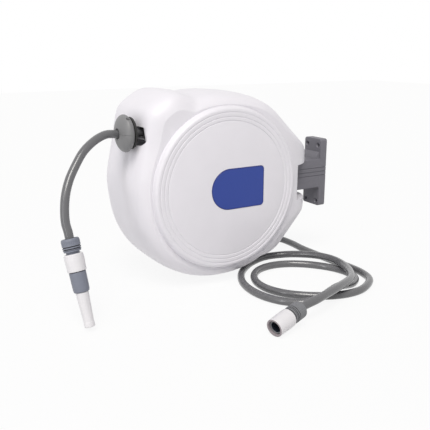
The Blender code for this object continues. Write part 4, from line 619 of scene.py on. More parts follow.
nozzle_at = outlet_face + OUTLET_LINE * NOZZLE_GAP
nozzle_outline = [(NOZZLE_BORE, -PLUG_LENGTH), (PLUG_RADIUS, -PLUG_LENGTH)]
nozzle_outline += [(PLUG_RADIUS, NOZZLE_RING_BACK)]
nozzle_outline += NOZZLE_SKIN
nozzle_outline += [(TIP_SEAT_RADIUS, NOZZLE_LENGTH), (TIP_SEAT_RADIUS, TIP_SEAT_AT)]
nozzle_outline += [(NOZZLE_BORE, TIP_SEAT_AT)]
nozzle_bm = turned(softened(nozzle_outline, NOZZLE_ROUNDING), along(nozzle_at, OUTLET_LINE))
nozzle = piece("nozzle_body_shell", nozzle_bm, nozzle_grey, "hose_end", ["nozzle_body"])


def fluted(radius, height, angle):
    """Shallow flutes on the tip, deepest half way up."""
    if radius < FLUTED_OVER or not FLUTES_FROM < height < FLUTES_FROM + FLUTES_LENGTH:
        return radius
    fade = math.sin(math.pi * (height - FLUTES_FROM) / FLUTES_LENGTH)
    return radius - FLUTE_DEPTH * fade * max(0.0, math.cos(FLUTES * angle))


tip_at = nozzle_at + OUTLET_LINE * (NOZZLE_LENGTH + SEAT_GAP)
tip_outline = [(NOZZLE_BORE, -TIP_PLUG_LENGTH), (TIP_PLUG_RADIUS, -TIP_PLUG_LENGTH), (TIP_PLUG_RADIUS, 0)]
tip_outline += [(TIP_RADIUS, 0), (TIP_RADIUS, TAPER_FROM)]
for i in range(1, TAPER_STEPS + 1):
    share = i / TAPER_STEPS
    taper_radius = TIP_RADIUS - (TIP_RADIUS - TIP_END_RADIUS) * share
    tip_outline.append((taper_radius, TAPER_FROM + TAPER_LENGTH * share))
tip_outline += TIP_RING
tip_bm = turned(softened(tip_outline, TIP_ROUNDING), along(tip_at, OUTLET_LINE), shape=fluted)
piece("nozzle_twist_tip", tip_bm, fitting_white, "nozzle_tip", ["nozzle_tip"])
print("nozzle and tip reach", round((NOZZLE_LENGTH + TIP_LENGTH) * 1000), "mm past the collar")

# %% [markdown]
# The lengths of the two free hoses are now measured against the real ones.

print("declared lengths differ by", round(abs(outlet_length - 0.272) * 1000, 1), "and",
      round(abs(supply_length - 2.394) * 1000, 1), "mm")

# %% [markdown]
# ## The housing's outline
# Seen from the front the housing is a squarish barrel with a flat-sided hump at the outlet and a neck
# that ends in two ears. Drawn with a subdivision surface it would take many trials. It is easier to
# say how far each shape reaches at an angle, take the largest of the three, and blend them with a
# high power, which leaves a small soft crease where two shapes meet.

# %% Blends and flat sides
LEAST_LEAN = 0.05                            # keeps a side that faces away from growing without end


def largest(values, power):
    top = max(values)
    return top * sum((max(v, 0.0) / top) ** power for v in values) ** (1 / power)


def least(values, power):
    low = min(values)
    return low * sum((low / v) ** power for v in values) ** (-1 / power)


def flat_side(distance, facing, angle):
    """How far a flat side reaches at an angle, from how far off it is and which way it faces."""
    return distance / max(LEAST_LEAN, math.cos(angle - facing))


def last_side(distance, facing, angle, way, fall):
    """A flat side that falls back to the barrel past its foot."""
    turn = (angle - facing + math.pi) % math.tau - math.pi
    if turn * way > 0:
        return max(distance - fall * turn ** 2, LEAST_LEAN * distance)
    return flat_side(distance, facing, angle)


def half_ellipse(half_width, y):
    return math.sqrt(max(0.0, 1 - (y / half_width) ** 2))


print("the largest of 1 and 1, blended, is", round(largest([1, 1], 60), 3))

# %% [markdown]
# The barrel is a circle made a little square, drawn in towards the front and rear edges. Two powers of
# the distance are mixed for that: a low one gives the long gentle fall and a high one the tight edge.

# %% Barrel
BODY_RADIUS = 0.198
HALF_DEPTH = 0.092
SQUARENESS = 2.17
BODY_DROP = 0.002
WALL = 0.003
SEAM_RADIUS = 0.170
SEAM_Y = -0.0803
FRONT_ROUNDING = 0.0245
FRONT_GENTLE = 0.45                          # share of the rounding that falls off gently
FRONT_TIGHT = 0.55
REAR_ROUNDING = 0.013
REAR_GENTLE = 0.15
REAR_TIGHT = 0.85


def rounding(y):
    """How far the outline is drawn in towards the front and rear edges."""
    if y < 0:
        t = min(1.0, y / SEAM_Y)
        return FRONT_ROUNDING * (FRONT_GENTLE * t ** 2 + FRONT_TIGHT * t ** 9)
    t = min(1.0, y / HALF_DEPTH)
    return REAR_ROUNDING * (REAR_GENTLE * t ** 2 + REAR_TIGHT * t ** 14)


def barrel(angle, y):
    c = abs(math.cos(angle)) ** SQUARENESS
    s = abs(math.sin(angle)) ** SQUARENESS
    return BODY_RADIUS * (c + s) ** (-1 / SQUARENESS) - BODY_DROP * math.sin(angle) - rounding(y)


print("barrel is", round((barrel(0.0, 0.0) + barrel(math.pi, 0.0)) * 1000), "mm across")

# %% [markdown]
# The hump holds the outlet and has four flat sides: front, slope, top and back. The neck runs to the
# two ear tips, with a top and a belly that lean as far as the tips ask, and its end is bowed from
# front to back.

# %% Hump and neck
HUMP_ROUNDING = 0.011                        # the hump is drawn in further towards the front edge
HUMP_FRONT = math.radians(168.9)
HUMP_FRONT_PROUD = 0.0035
HUMP_SLOPE = math.radians(125.4)
HUMP_SLOPE_PROUD = 0.0376
HUMP_TOP = math.radians(94.0)
HUMP_TOP_PROUD = 0.0114
HUMP_BACK = math.radians(68.0)
HUMP_BACK_SUNK = 0.0448
SIDE_FALL = 0.06
HUMP_BLEND = 48
EAR_TIP_X = 0.247
EAR_TIP_TOP = 0.0503
EAR_TIP_BOTTOM = -0.0814
NECK_TOP = BODY_RADIUS + 0.0085
NECK_BOTTOM = BODY_RADIUS + 0.040
NECK_BOTTOM_FALL = 0.20
BELLY_BOW = 0.098
BELLY_HALF_WIDTH = 0.090
EAR_BOW = 0.097
EAR_HALF_WIDTH = 0.080
NECK_BLEND = 90
WHOLE_BLEND = 60
ARM_FRONT_X = 0.190


def hump(angle, y):
    full = BODY_RADIUS - rounding(y) - HUMP_ROUNDING * max(0.0, y / SEAM_Y) ** 8
    return least([last_side(full + HUMP_FRONT_PROUD, HUMP_FRONT, angle, 1, SIDE_FALL),
                  flat_side(full + HUMP_SLOPE_PROUD, HUMP_SLOPE, angle),
                  flat_side(full + HUMP_TOP_PROUD, HUMP_TOP, angle),
                  last_side(full - HUMP_BACK_SUNK, HUMP_BACK, angle, -1, SIDE_FALL)], HUMP_BLEND)


def corner_facing(height, distance):
    """Which way a flat side faces that touches an ear tip and is so far from the drum axis."""
    away = math.hypot(EAR_TIP_X, height)
    return math.atan2(height, EAR_TIP_X) + math.copysign(math.acos(min(1.0, distance / away)), height)


def neck(angle, y):
    belly = NECK_BOTTOM - BELLY_BOW + BELLY_BOW * half_ellipse(BELLY_HALF_WIDTH, y)
    end = EAR_TIP_X - EAR_BOW + EAR_BOW * half_ellipse(EAR_HALF_WIDTH, y)
    top_facing = corner_facing(EAR_TIP_TOP, NECK_TOP)
    bottom_facing = corner_facing(EAR_TIP_BOTTOM, NECK_BOTTOM)
    return least([last_side(NECK_TOP - rounding(y), top_facing, angle, 1, SIDE_FALL),
                  last_side(belly, bottom_facing, angle, -1, NECK_BOTTOM_FALL),
                  flat_side(end, 0.0, angle)], NECK_BLEND)


def outside(angle, y):
    return largest([barrel(angle, y), hump(angle, y), neck(angle, y)], WHOLE_BLEND)


def inside(angle, y):
    room = largest([barrel(angle, y), hump(angle, y)], WHOLE_BLEND) - WALL
    return least([room, flat_side(ARM_FRONT_X - WALL, 0.0, angle)], NECK_BLEND)


def hump_face_x(z):
    """Where the hump's front face lies, at a height over the drum axis."""
    return (BODY_RADIUS + HUMP_FRONT_PROUD - z * math.sin(HUMP_FRONT)) / math.cos(HUMP_FRONT)


print("housing reaches", round(outside(HUMP_SLOPE, 0.0) * 1000), "mm at the hump")

# %% [markdown]
# ## Skins and cuts
# Many pieces are skins stretched over rings of points: the housing, its plate, the bracket. A lofted
# surface could be made with Bridge Edge Loops, but from a script the rings are at hand and joining
# them takes a few lines. Openings are cut with exact Booleans, and the result is kept as the mesh.

# %% Joined rings and Boolean cuts
ALONG_X = Vector((1, 0, 0))
ALONG_Y = Vector((0, 1, 0))
ALONG_Z = Vector((0, 0, 1))
QUARTER = math.pi / 2


def joined(rings, closed=False, bm=None):
    """Joins rings of points into a skin, closed end to end or capped at both ends."""
    bm = bm or bmesh.new()
    made = [[bm.verts.new(p) for p in ring] for ring in rings]
    pairs = list(zip(made, made[1:] + made[:1])) if closed else list(zip(made, made[1:]))
    for ring, following in pairs:
        for i in range(len(ring)):
            j = (i + 1) % len(ring)
            bm.faces.new((ring[i], ring[j], following[j], following[i]))
    if not closed:
        bm.faces.new(made[0])
        bm.faces.new(made[-1])
    return bm


def carved(body, *shapes, operation="DIFFERENCE"):
    """Cuts shapes out of a piece, or adds them, and keeps the result as its mesh."""
    helpers = []
    for number, bm in enumerate(shapes):
        bmesh.ops.recalc_face_normals(bm, faces=bm.faces)
        mesh = bpy.data.meshes.new("cut")
        bm.to_mesh(mesh)
        bm.free()
        helper = bpy.data.objects.new("cut_%d" % number, mesh)
        bpy.context.collection.objects.link(helper)
        helpers.append(helper)
        step = body.modifiers.new("cut", "BOOLEAN")
        step.operation = operation
        step.solver = "EXACT"
        step.object = helper
    graph = bpy.context.evaluated_depsgraph_get()
    result = bpy.data.meshes.new_from_object(body.evaluated_get(graph))
    body.modifiers.clear()
    body.data = result
    for helper in helpers:
        bpy.data.objects.remove(helper, do_unlink=True)
    result.shade_smooth()
    result.set_sharp_from_angle(angle=CREASE)
    return body


trial = joined([[(0, 0, z), (1, 0, z), (0, 1, z)] for z in (0, 1)])
print("a skin over two triangles has", len(trial.faces), "faces")
trial.free()

# %% [markdown]
# Three simple shapes come up again and again in the cuts: a block, an arc of points, and a rectangle
# with round corners, which is made of four arcs.

# %% Blocks, arcs and round rectangles
def block(low, high):
    x0, y0, z0 = low
    x1, y1, z1 = high
    return joined([[(x0, y0, z), (x1, y0, z), (x1, y1, z), (x0, y1, z)] for z in (z0, z1)])


def arc(cx, cy, radius, start, end, steps):
    return [(cx + radius * math.cos(start + (end - start) * i / steps),
             cy + radius * math.sin(start + (end - start) * i / steps)) for i in range(steps + 1)]


def round_rectangle(half_width, half_height, corner, steps=12):
    w = half_width - corner
    h = half_height - corner
    outline = []
    for number, (x, y) in enumerate([(w, h), (-w, h), (-w, -h), (w, -h)]):
        outline += arc(x, y, corner, QUARTER * number, QUARTER * (number + 1), steps)
    return outline


print("a round rectangle has", len(round_rectangle(2, 1, 0.5)), "points")

# %% [markdown]
# ## The housing shell
# The tub is one moulding with an even wall. It is built as a loop of rings: lip, outside, rear wall
# with the hole for the axle, inside, and back to the lip. The rings lie closer together near the front
# and rear edges, where the outline turns quickly. The ear tips get an angle of their own, so that
# their edges stay crisp.

# %% Housing shell
SIDE_STEPS = 264
FRONT_RINGS = 18
REAR_RINGS = 24
HUB_HOLE = 0.0125
LIP_EDGE = 0.0002
SEAM_STEP = 0.0008
REAR_STEP = 0.0020
INSIDE_REAR = (1.0, 0.92, 0.80, 0.50, 0.0)   # shares of the depth behind the mid plane
INSIDE_FRONT = (0.4, 0.7, 0.9, 1.0)

even_angles = [math.tau * i / SIDE_STEPS for i in range(SIDE_STEPS)]
tip_angles = [math.atan2(z, EAR_TIP_X) % math.tau for z in (EAR_TIP_TOP, EAR_TIP_BOTTOM)]
ANGLES = sorted(even_angles + tip_angles)


def ring_at(radius_at, y):
    return [REEL + Vector((radius_at(a, y) * math.cos(a), y, radius_at(a, y) * math.sin(a))) for a in ANGLES]


def circle_at(radius, y):
    return ring_at(lambda angle, along_y: radius, y)


front_shares = [math.sin(QUARTER * i / FRONT_RINGS) for i in range(FRONT_RINGS, 0, -1)]
rear_shares = [math.sin(QUARTER * i / REAR_RINGS) for i in range(REAR_RINGS + 1)]
lip_back = SEAM_Y + WALL
rear_inside = HALF_DEPTH - WALL
shell_rings = [circle_at(SEAM_RADIUS, lip_back), circle_at(SEAM_RADIUS, SEAM_Y + LIP_EDGE),
               circle_at(SEAM_RADIUS + LIP_EDGE, SEAM_Y),
               ring_at(lambda a, y: outside(a, y) - SEAM_STEP, SEAM_Y)]
shell_rings += [ring_at(outside, SEAM_Y * share) for share in front_shares]
shell_rings += [ring_at(outside, HALF_DEPTH * share) for share in rear_shares]
shell_rings += [ring_at(lambda a, y: outside(a, y) - REAR_STEP, HALF_DEPTH)]
shell_rings += [circle_at(HUB_HOLE, HALF_DEPTH), circle_at(HUB_HOLE, rear_inside)]
shell_rings += [ring_at(inside, rear_inside * share) for share in INSIDE_REAR]
shell_rings += [ring_at(inside, lip_back * share) for share in INSIDE_FRONT]
housing = piece("housing_tub", joined(shell_rings, closed=True), housing_white, "housing",
                ["housing_shell"])
print("housing skin has", len(shell_rings), "rings")

# %% [markdown]
# ## Openings of the housing
# Four things are cut out of the tub: the long slot for the hose, the recess between the ears for the
# bracket's arm, the bore of the swivel pin, and the holes for the six cover screws. They are cut in
# one go. Each cut reaches past the wall that it opens, because a Boolean is surest where no faces lie
# together.

# %% Cuts in the housing
SLOT_HALF_LENGTH = 0.068
SLOT_HALF_HEIGHT = 0.018
SLOT_CORNER = 0.0175
SLOT_CORNER_STEPS = 20
SLOT_UNDER_LANE = 0.0055
SLOT_FACE_UNDER_LANE = 0.0235
SLOT_CUT_REACH = 5 * WALL
RECESS_TOP = 0.029
RECESS_BOTTOM = -0.0517
RECESS_END_X = EAR_TIP_X + 0.029
PIN_X = 0.222
PIN_BORE_RADIUS = 0.0063
PIN_WELL_RADIUS = 0.0105
PIN_WELL_TOP = RECESS_BOTTOM - 0.018
PIN_WELL_BOTTOM = RECESS_BOTTOM - 0.0576
PIN_BORE_TOP = RECESS_TOP + 0.013
BORE_STEPS = 64
SCREW_ANGLES = (105, 45, -15, -75, -135, 165)
SCREW_CIRCLE = 0.153
SCREW_HOLE_RADIUS = 0.0023
SCREW_HOLE_REACH = 0.005
SCREW_HOLE_STEPS = 24


def on_circle(degrees, y):
    angle = math.radians(degrees)
    return REEL + Vector((SCREW_CIRCLE * math.cos(angle), y, SCREW_CIRCLE * math.sin(angle)))


slot_outline = round_rectangle(SLOT_HALF_LENGTH, SLOT_HALF_HEIGHT, SLOT_CORNER, SLOT_CORNER_STEPS)
slot_x = hump_face_x(LANE.z - SLOT_FACE_UNDER_LANE)
slot_z = LANE.z - SLOT_UNDER_LANE
slot_cut = joined([[REEL + Vector((slot_x + side * SLOT_CUT_REACH, y, slot_z + z)) for y, z in slot_outline]
                   for side in (-1, 1)])
recess_cut = block(REEL + Vector((ARM_FRONT_X, -BODY_RADIUS, RECESS_BOTTOM)),
                   REEL + Vector((RECESS_END_X, BODY_RADIUS, RECESS_TOP)))
pin_bore = [(0, PIN_WELL_BOTTOM), (PIN_WELL_RADIUS, PIN_WELL_BOTTOM), (PIN_WELL_RADIUS, PIN_WELL_TOP),
            (PIN_BORE_RADIUS, PIN_WELL_TOP), (PIN_BORE_RADIUS, PIN_BORE_TOP), (0, PIN_BORE_TOP)]
pin_cut = turned(pin_bore, along(REEL + Vector((PIN_X, 0, 0)), ALONG_Z), BORE_STEPS)
screw_hole = [(0, -SCREW_HOLE_REACH), (SCREW_HOLE_RADIUS, -SCREW_HOLE_REACH),
              (SCREW_HOLE_RADIUS, SCREW_HOLE_REACH), (0, SCREW_HOLE_REACH)]
hole_cuts = bmesh.new()
for degrees in SCREW_ANGLES:
    turned(screw_hole, along(on_circle(degrees, HALF_DEPTH), ALONG_Y), SCREW_HOLE_STEPS, bm=hole_cuts)
carved(housing, slot_cut, recess_cut, pin_cut, hole_cuts)
print("housing tub has", len(housing.data.polygons), "faces")

# %% [markdown]
# ## The front cover
# The round cover closes the tub. It is flat with a rounded edge that dips to the seam, and three fine
# rings are cut in its face. It is a turned piece with no ribs, and its outline is written as pairs of
# radius and distance behind the face, because those can be read off the real piece.

# %% Front cover
COVER_FACE_Y = -HALF_DEPTH
COVER_RADIUS = 0.16988
COVER_FLAT = 0.1615
COVER_STEPS = 288
COVER_ROUNDING = 0.0003
COVER_ROUNDING_STEPS = 2
RING_GROOVES = (0.140, 0.148, 0.157)
GROOVE = [(-0.0009, 0), (-0.0004, 0.0008), (0.0004, 0.0008), (0.0009, 0)]
COVER_EDGE = [(COVER_FLAT, 0), (0.1630, 0.0003), (0.1645, 0.0011), (0.1660, 0.0025), (0.1672, 0.0044),
              (0.1681, 0.0066), (0.1687, 0.0088), (0.1692, 0.0105), (COVER_RADIUS, 0.0114),
              (COVER_RADIUS, 0.0140)]
COVER_BACK = [(COVER_RADIUS - WALL, 0.0140), (0.1645, 0.0078), (0.1600, WALL)]
COVER_HUB = [(0.022, WALL), (0.022, 0.012), (0.0103, 0.012), (0.0103, 0.005), (0, 0.005)]
POST_STEPS = 32
POST_BORE = 0.0022
POST_RADIUS = 0.005
POST_TIP_RADIUS = 0.0047
POST_ROOT = 0.002

cover_outline = [(0, 0)]
for groove_radius in RING_GROOVES:
    cover_outline += [(groove_radius + out, behind) for out, behind in GROOVE]
cover_outline += COVER_EDGE + COVER_BACK + COVER_HUB
cover_outline = [(radius, COVER_FACE_Y + behind) for radius, behind in cover_outline]
cover_outline = softened(cover_outline, COVER_ROUNDING, COVER_ROUNDING_STEPS)
cover_bm = turned(cover_outline, along(REEL, ALONG_Y), COVER_STEPS)
cover = piece("front_cover_disc", cover_bm, housing_white, "housing", ["front_cover"])
print("cover has", len(RING_GROOVES), "rings")

# %% [markdown]
# Six posts stand behind the cover, one for each screw. They are hollow, so that the screws have room,
# and they end just short of the tub's rear wall.

# %% Cover posts
post_foot = COVER_FACE_Y + POST_ROOT
post_end = rear_inside - SEAT_GAP
post = [(POST_BORE, post_foot), (POST_RADIUS, post_foot), (POST_TIP_RADIUS, post_end), (POST_BORE, post_end)]
posts = bmesh.new()
for degrees in SCREW_ANGLES:
    turned(post, along(on_circle(degrees, 0), ALONG_Y), POST_STEPS, bm=posts)
piece("cover_posts", posts, housing_white, "housing")
print("cover has", len(SCREW_ANGLES), "posts")

# %% [markdown]
# ## The blue plate
# A smooth blue plate is set in the cover. The pocket for it is cut with the plate's own outline, a
# little larger, so that a thin dark gap shows. The raised rim is moulded with a steep edge that faces
# away from the light, and it is painted a darker blue as shade. Rim and field are one mesh with two
# materials, so the border between them follows the outline exactly.

# %% Blue plate
PLATE_RADIUS = 0.0427
PLATE_RIGHT = 0.0844
PLATE_CORNER = 0.008
PLATE_ROUND_STEPS = 64
PLATE_CORNER_STEPS = 14
PLATE_PROUD = 0.0005
PLATE_GAP = 0.0004
POCKET_DEPTH = 0.0018
POCKET_CUT_REACH = 0.005
RIM_AND_FIELD = [(0.0, 0.0020), (0.0, 0.0007), (-0.0002, 0.0003), (-0.0006, 0.0), (-0.0017, 0.0),
                 (-0.0022, 0.0002), (-0.0026, 0.0002), (-0.0040, 0.0002)]
RIM_BANDS = 5


def plate_outline(grow):
    """Round at the left about the drum axis, squared with round corners at the right."""
    radius, corner = PLATE_RADIUS + grow, PLATE_CORNER + grow
    right = PLATE_RIGHT + grow - corner
    return (arc(0, 0, radius, QUARTER, 3 * QUARTER, PLATE_ROUND_STEPS)
            + arc(right, corner - radius, corner, 3 * QUARTER, 4 * QUARTER, PLATE_CORNER_STEPS)
            + arc(right, radius - corner, corner, 0, QUARTER, PLATE_CORNER_STEPS))


def plate_ring(grow, y):
    return [REEL + Vector((x, y, z)) for x, z in plate_outline(grow)]


carved(cover, joined([plate_ring(PLATE_GAP, COVER_FACE_Y + y) for y in (-POCKET_CUT_REACH, POCKET_DEPTH)]))
plate_front = COVER_FACE_Y - PLATE_PROUD
plate_rings = [plate_ring(grow, plate_front + behind) for grow, behind in RIM_AND_FIELD]
plate = piece("blue_plate", joined(plate_rings), plate_blue, "housing", ["badge_plate"])
# the rim's faces get the darker blue, painted shade
plate.data.materials.append(plate_rim_shade_blue)
for index, side in enumerate(plate.data.polygons):
    if index < RIM_BANDS * len(plate_rings[0]):
        side.material_index = 1
print("plate is", round((PLATE_RIGHT + PLATE_RADIUS) * 1000), "mm long")

# %% [markdown]
# ## The wall bracket
# The bracket is one grey moulding: a plate for four wall screws, an arm with a round end that takes
# the swivel pin, and a sloped web above the arm. Three grooves run round the arm and over the plate's
# sides. Plate, arm and web are joined with a Boolean, and the grooves and screw holes are cut after.

# %% Bracket
PLATE_HEIGHT = 0.160
PLATE_HALF_WIDTH = 0.0293
PLATE_DEPTH = 0.0184
PLATE_SECTION_CORNER = 0.006
PLATE_CORNER_SHRINK = 0.5                    # how much of the inset comes off the corner's radius
PLATE_SECTION_STEPS = 8
PLATE_EDGE = 0.0018
PLATE_EDGE_DEPTHS = (1.0, 0.75, 0.5, 0.3, 0.15, 0.05, 0.0)
ARM_HALF = 0.0345
ARM_RADIUS = 0.029
ARM_EDGE = 0.0022
ARM_EDGE_STEPS = 5
ARM_STEPS = 56
PIN_TO_WALL = 0.087
WEB_HALF_WIDTH = 0.0266
WEB = [(-0.011, -0.004), (-0.011, 0.0155), (-0.0195, 0.0149), (-0.0225, 0.0122), (-0.0312, 0.0010),
       (-0.0330, -0.004)]                    # away from the wall, and over the arm's top


def plate_section(inset):
    corner = PLATE_SECTION_CORNER - inset * PLATE_CORNER_SHRINK
    return round_rectangle(PLATE_HALF_WIDTH - inset, PLATE_HEIGHT / 2 - inset, corner, PLATE_SECTION_STEPS)


def arm_section(inset, back):
    radius = ARM_RADIUS - inset
    return [(back, -radius), (back, radius)] + arc(-PIN_TO_WALL, 0, radius, QUARTER, 3 * QUARTER, ARM_STEPS)


def rounded_inset(deep):
    """How far a section is drawn in where it lies so deep in a round edge."""
    return 1 - math.sqrt(max(0.0, 1 - (1 - deep) ** 2))


plate_levels = [(0.0, 0.0)]
plate_levels += [(-PLATE_DEPTH + PLATE_EDGE * deep, PLATE_EDGE * rounded_inset(deep))
                 for deep in PLATE_EDGE_DEPTHS]
plate_skin = joined([[Vector((x, y, z)) for y, z in plate_section(inset)] for x, inset in plate_levels])
bracket = piece("bracket_body", plate_skin, bracket_grey, "bracket", ["wall_bracket"])
edge_angles = [QUARTER * i / ARM_EDGE_STEPS for i in range(ARM_EDGE_STEPS + 1)]
arm_levels = [(-ARM_HALF + ARM_EDGE * (1 - math.cos(a)), ARM_EDGE * (1 - math.sin(a))) for a in edge_angles]
arm_levels += [(-z, inset) for z, inset in reversed(arm_levels)]
arm_back = -PLATE_DEPTH / 2
arm = joined([[Vector((x, y, z)) for x, y in arm_section(inset, arm_back)] for z, inset in arm_levels])
web_sides = (-WEB_HALF_WIDTH, WEB_HALF_WIDTH)
web = joined([[Vector((x, y, ARM_HALF + over)) for x, over in WEB] for y in web_sides])
carved(bracket, arm, operation="UNION")
carved(bracket, web, operation="UNION")
print("bracket reaches", round((PIN_TO_WALL + ARM_RADIUS) * 1000), "mm off the wall")

# %% [markdown]
# The grooves are rings that follow the arm's outline. Both ends of the pin's bore are widened for the
# bushes, and the wall screws get countersunk holes. All of these are one mesh, so it is cut only once.

# %% Grooves and bores in the bracket
BRACKET_GROOVES = (0.0134, 0.0040, -0.0050)
GROOVE_HALF = 0.00065
GROOVE_DEPTH = 0.0012
GROOVE_REACH = 0.004
GROOVE_BACK = 0.01
BUSH_RADIUS = 0.0118
BUSH_DEPTH = 0.0018
ARM_BORE_RADIUS = 0.0084
CUT_REACH = 0.01
WALL_SCREW_Y = (-0.019, 0.019)
WALL_SCREW_Z = (0.065, -0.069)
WALL_HOLE_RADIUS = 0.003
SUNK_RADIUS = 0.0058
SUNK_DEPTH = 0.0035
WALL_HOLE_STEPS = 40
WALL_HOLE_REACH = 0.02

grooves = bmesh.new()
for height in BRACKET_GROOVES:
    low, high = height - GROOVE_HALF, height + GROOVE_HALF
    section = [(GROOVE_DEPTH, low), (-GROOVE_REACH, low), (-GROOVE_REACH, high), (GROOVE_DEPTH, high)]
    joined([[Vector((x, y, z)) for x, y in arm_section(inset, GROOVE_BACK)] for inset, z in section],
           closed=True, bm=grooves)
bush_at = ARM_HALF - BUSH_DEPTH
bush_bore = [(0, -ARM_HALF - CUT_REACH), (BUSH_RADIUS, -ARM_HALF - CUT_REACH), (BUSH_RADIUS, -bush_at),
             (ARM_BORE_RADIUS, -bush_at), (ARM_BORE_RADIUS, bush_at), (BUSH_RADIUS, bush_at),
             (BUSH_RADIUS, ARM_HALF + CUT_REACH), (0, ARM_HALF + CUT_REACH)]
turned(bush_bore, along(Vector((-PIN_TO_WALL, 0, 0)), ALONG_Z), BORE_STEPS, bm=grooves)
wall_hole = [(0, CUT_REACH), (WALL_HOLE_RADIUS, CUT_REACH), (WALL_HOLE_RADIUS, -PLATE_DEPTH + SUNK_DEPTH),
             (SUNK_RADIUS, -PLATE_DEPTH), (SUNK_RADIUS, -PLATE_DEPTH - WALL_HOLE_REACH),
             (0, -PLATE_DEPTH - WALL_HOLE_REACH)]
for y in WALL_SCREW_Y:
    for z in WALL_SCREW_Z:
        turned(wall_hole, along(Vector((0, y, z)), ALONG_X), WALL_HOLE_STEPS, bm=grooves)
carved(bracket, grooves)
print("bracket has", len(bracket.data.polygons), "faces")

# %% [markdown]
# ## The rubber buffer
# A black rubber ring sits between the stopper and the housing and takes the knock when the hose runs
# home. It is a turned piece on the hose's lane, whose rear lies on the face of the hump.

# %% Rubber buffer
BUFFER_RADIUS = 0.031
BUFFER_THICKNESS = 0.005
BUFFER_BORE = 0.0083
BUFFER_ROUNDING = 0.0008
BUFFER_REAR_EDGE_IN = 0.001
BUFFER_REAR_EDGE_ALONG = 0.0012
BUFFER_FRONT_EDGE = 0.0006

lane_frame = along(REEL + LANE, ALONG_X)
buffer_rear = hump_face_x(LANE.z - BUFFER_RADIUS) - SEAT_GAP
buffer_front = buffer_rear - BUFFER_THICKNESS
buffer_outline = [(BUFFER_BORE, buffer_rear), (BUFFER_RADIUS - BUFFER_REAR_EDGE_IN, buffer_rear),
                  (BUFFER_RADIUS, buffer_rear - BUFFER_REAR_EDGE_ALONG),
                  (BUFFER_RADIUS, buffer_front + BUFFER_FRONT_EDGE),
                  (BUFFER_RADIUS - BUFFER_FRONT_EDGE, buffer_front), (BUFFER_BORE, buffer_front)]
piece("rubber_buffer", turned(softened(buffer_outline, BUFFER_ROUNDING), lane_frame), buffer_rubber,
      "hose_end", ["stopper_bumper"])
print("buffer is", round(BUFFER_THICKNESS * 1000, 1), "mm thick")

# %% [markdown]
# ## The stopper
# Two grey half shells are screwed together round the hose and stop it at the slot. Each half is half a
# turn of the same outline, with a hair of a gap between them for the parting line, and the hose
# enters through a small sunk mouth. A Boolean could split a whole one, but half a turn is simpler.

# %% Stopper halves
STOPPER_RADIUS = 0.036
STOPPER_FRONT = 0.0155
STOPPER_BACK = 0.0095
STOPPER_BORE = 0.0086
STOPPER_ARC_STEPS = 40
STOPPER_TURN_STEPS = 64
STOPPER_ROUNDING = 0.0006
MOUTH_RADIUS = 0.0112
MOUTH = [(0.0103, 0.0004), (0.0099, 0.0022), (STOPPER_BORE, 0.0030)]
PARTING = 0.00018                            # each half is lifted by this much
SCREW_OUT = 0.56 * STOPPER_RADIUS
SCREW_HEAD_AT = 0.018                        # over the hose's middle
WELL = [(0, -0.0128), (0.0018, -0.0128), (0.0018, SCREW_HEAD_AT), (0.0034, SCREW_HEAD_AT),
        (0.0034, 0.054), (0, 0.054)]
WELL_STEPS = 32


def stopper_outline():
    """Bowed like a lens, from the flat back round to the mouth."""
    first = math.acos(STOPPER_BACK / STOPPER_FRONT)
    last = math.pi - math.asin(MOUTH_RADIUS / STOPPER_RADIUS)
    outline = [(STOPPER_BORE, STOPPER_MIDDLE + STOPPER_BACK)]
    for i in range(STOPPER_ARC_STEPS + 1):
        t = first + (last - first) * i / STOPPER_ARC_STEPS
        outline.append((STOPPER_RADIUS * math.sin(t), STOPPER_MIDDLE + STOPPER_FRONT * math.cos(t)))
    edge = outline[-1][1]
    return outline + [(radius, edge + deep) for radius, deep in MOUTH]


def stopper_screw_place(y, z):
    return REEL + LANE + Vector((STOPPER_MIDDLE, y, z))


stopper_shape = softened(stopper_outline(), STOPPER_ROUNDING, 2)
for name, start, lift, node in (("stopper_top_half", 0.0, PARTING, "stopper_upper"),
                                ("stopper_bottom_half", math.pi, -PARTING, "stopper_lower")):
    lifted = Matrix.Translation(Vector((0, 0, lift))) @ lane_frame
    half_turn = turned(stopper_shape, lifted, STOPPER_TURN_STEPS, start, math.pi)
    half = piece(name, half_turn, stopper_grey, "hose_end", [node])
    wells = bmesh.new()
    for y in (-SCREW_OUT, SCREW_OUT):
        turned(WELL, along(stopper_screw_place(y, 0), ALONG_Z), WELL_STEPS, bm=wells)
    carved(half, wells)
print("stopper is", round((STOPPER_FRONT + STOPPER_BACK) * 1000, 1), "mm thick and",
      round(STOPPER_RADIUS * 2000, 1), "mm across")

# %% [markdown]
# ## The hose inside
# Behind the stopper the hose runs straight to the drum, and there it is wound in four layers. The
# winding is one long helix whose radius steps up by a little less than a hose at the end of each
# layer, because each turn sinks into the valley below it.

# %% Straight lead and wound hose
DRUM_HALF_WIDTH = 0.0715
CORE_RADIUS = 0.0554
LAYER_PITCH = 0.014
LAYERS = 4
TURN_STEPS = 48
STEP_UP = TURN_STEPS / 4                     # steps in which a new layer climbs over the last
LEAD_X = (STOPPER_MIDDLE, -0.15, -0.10, -0.05, 0.0)

lead = [REEL + LANE + Vector((x, 0, 0)) for x in LEAD_X]
hose("lead_hose_tube", lead, "hose_end", ["lead_hose"])

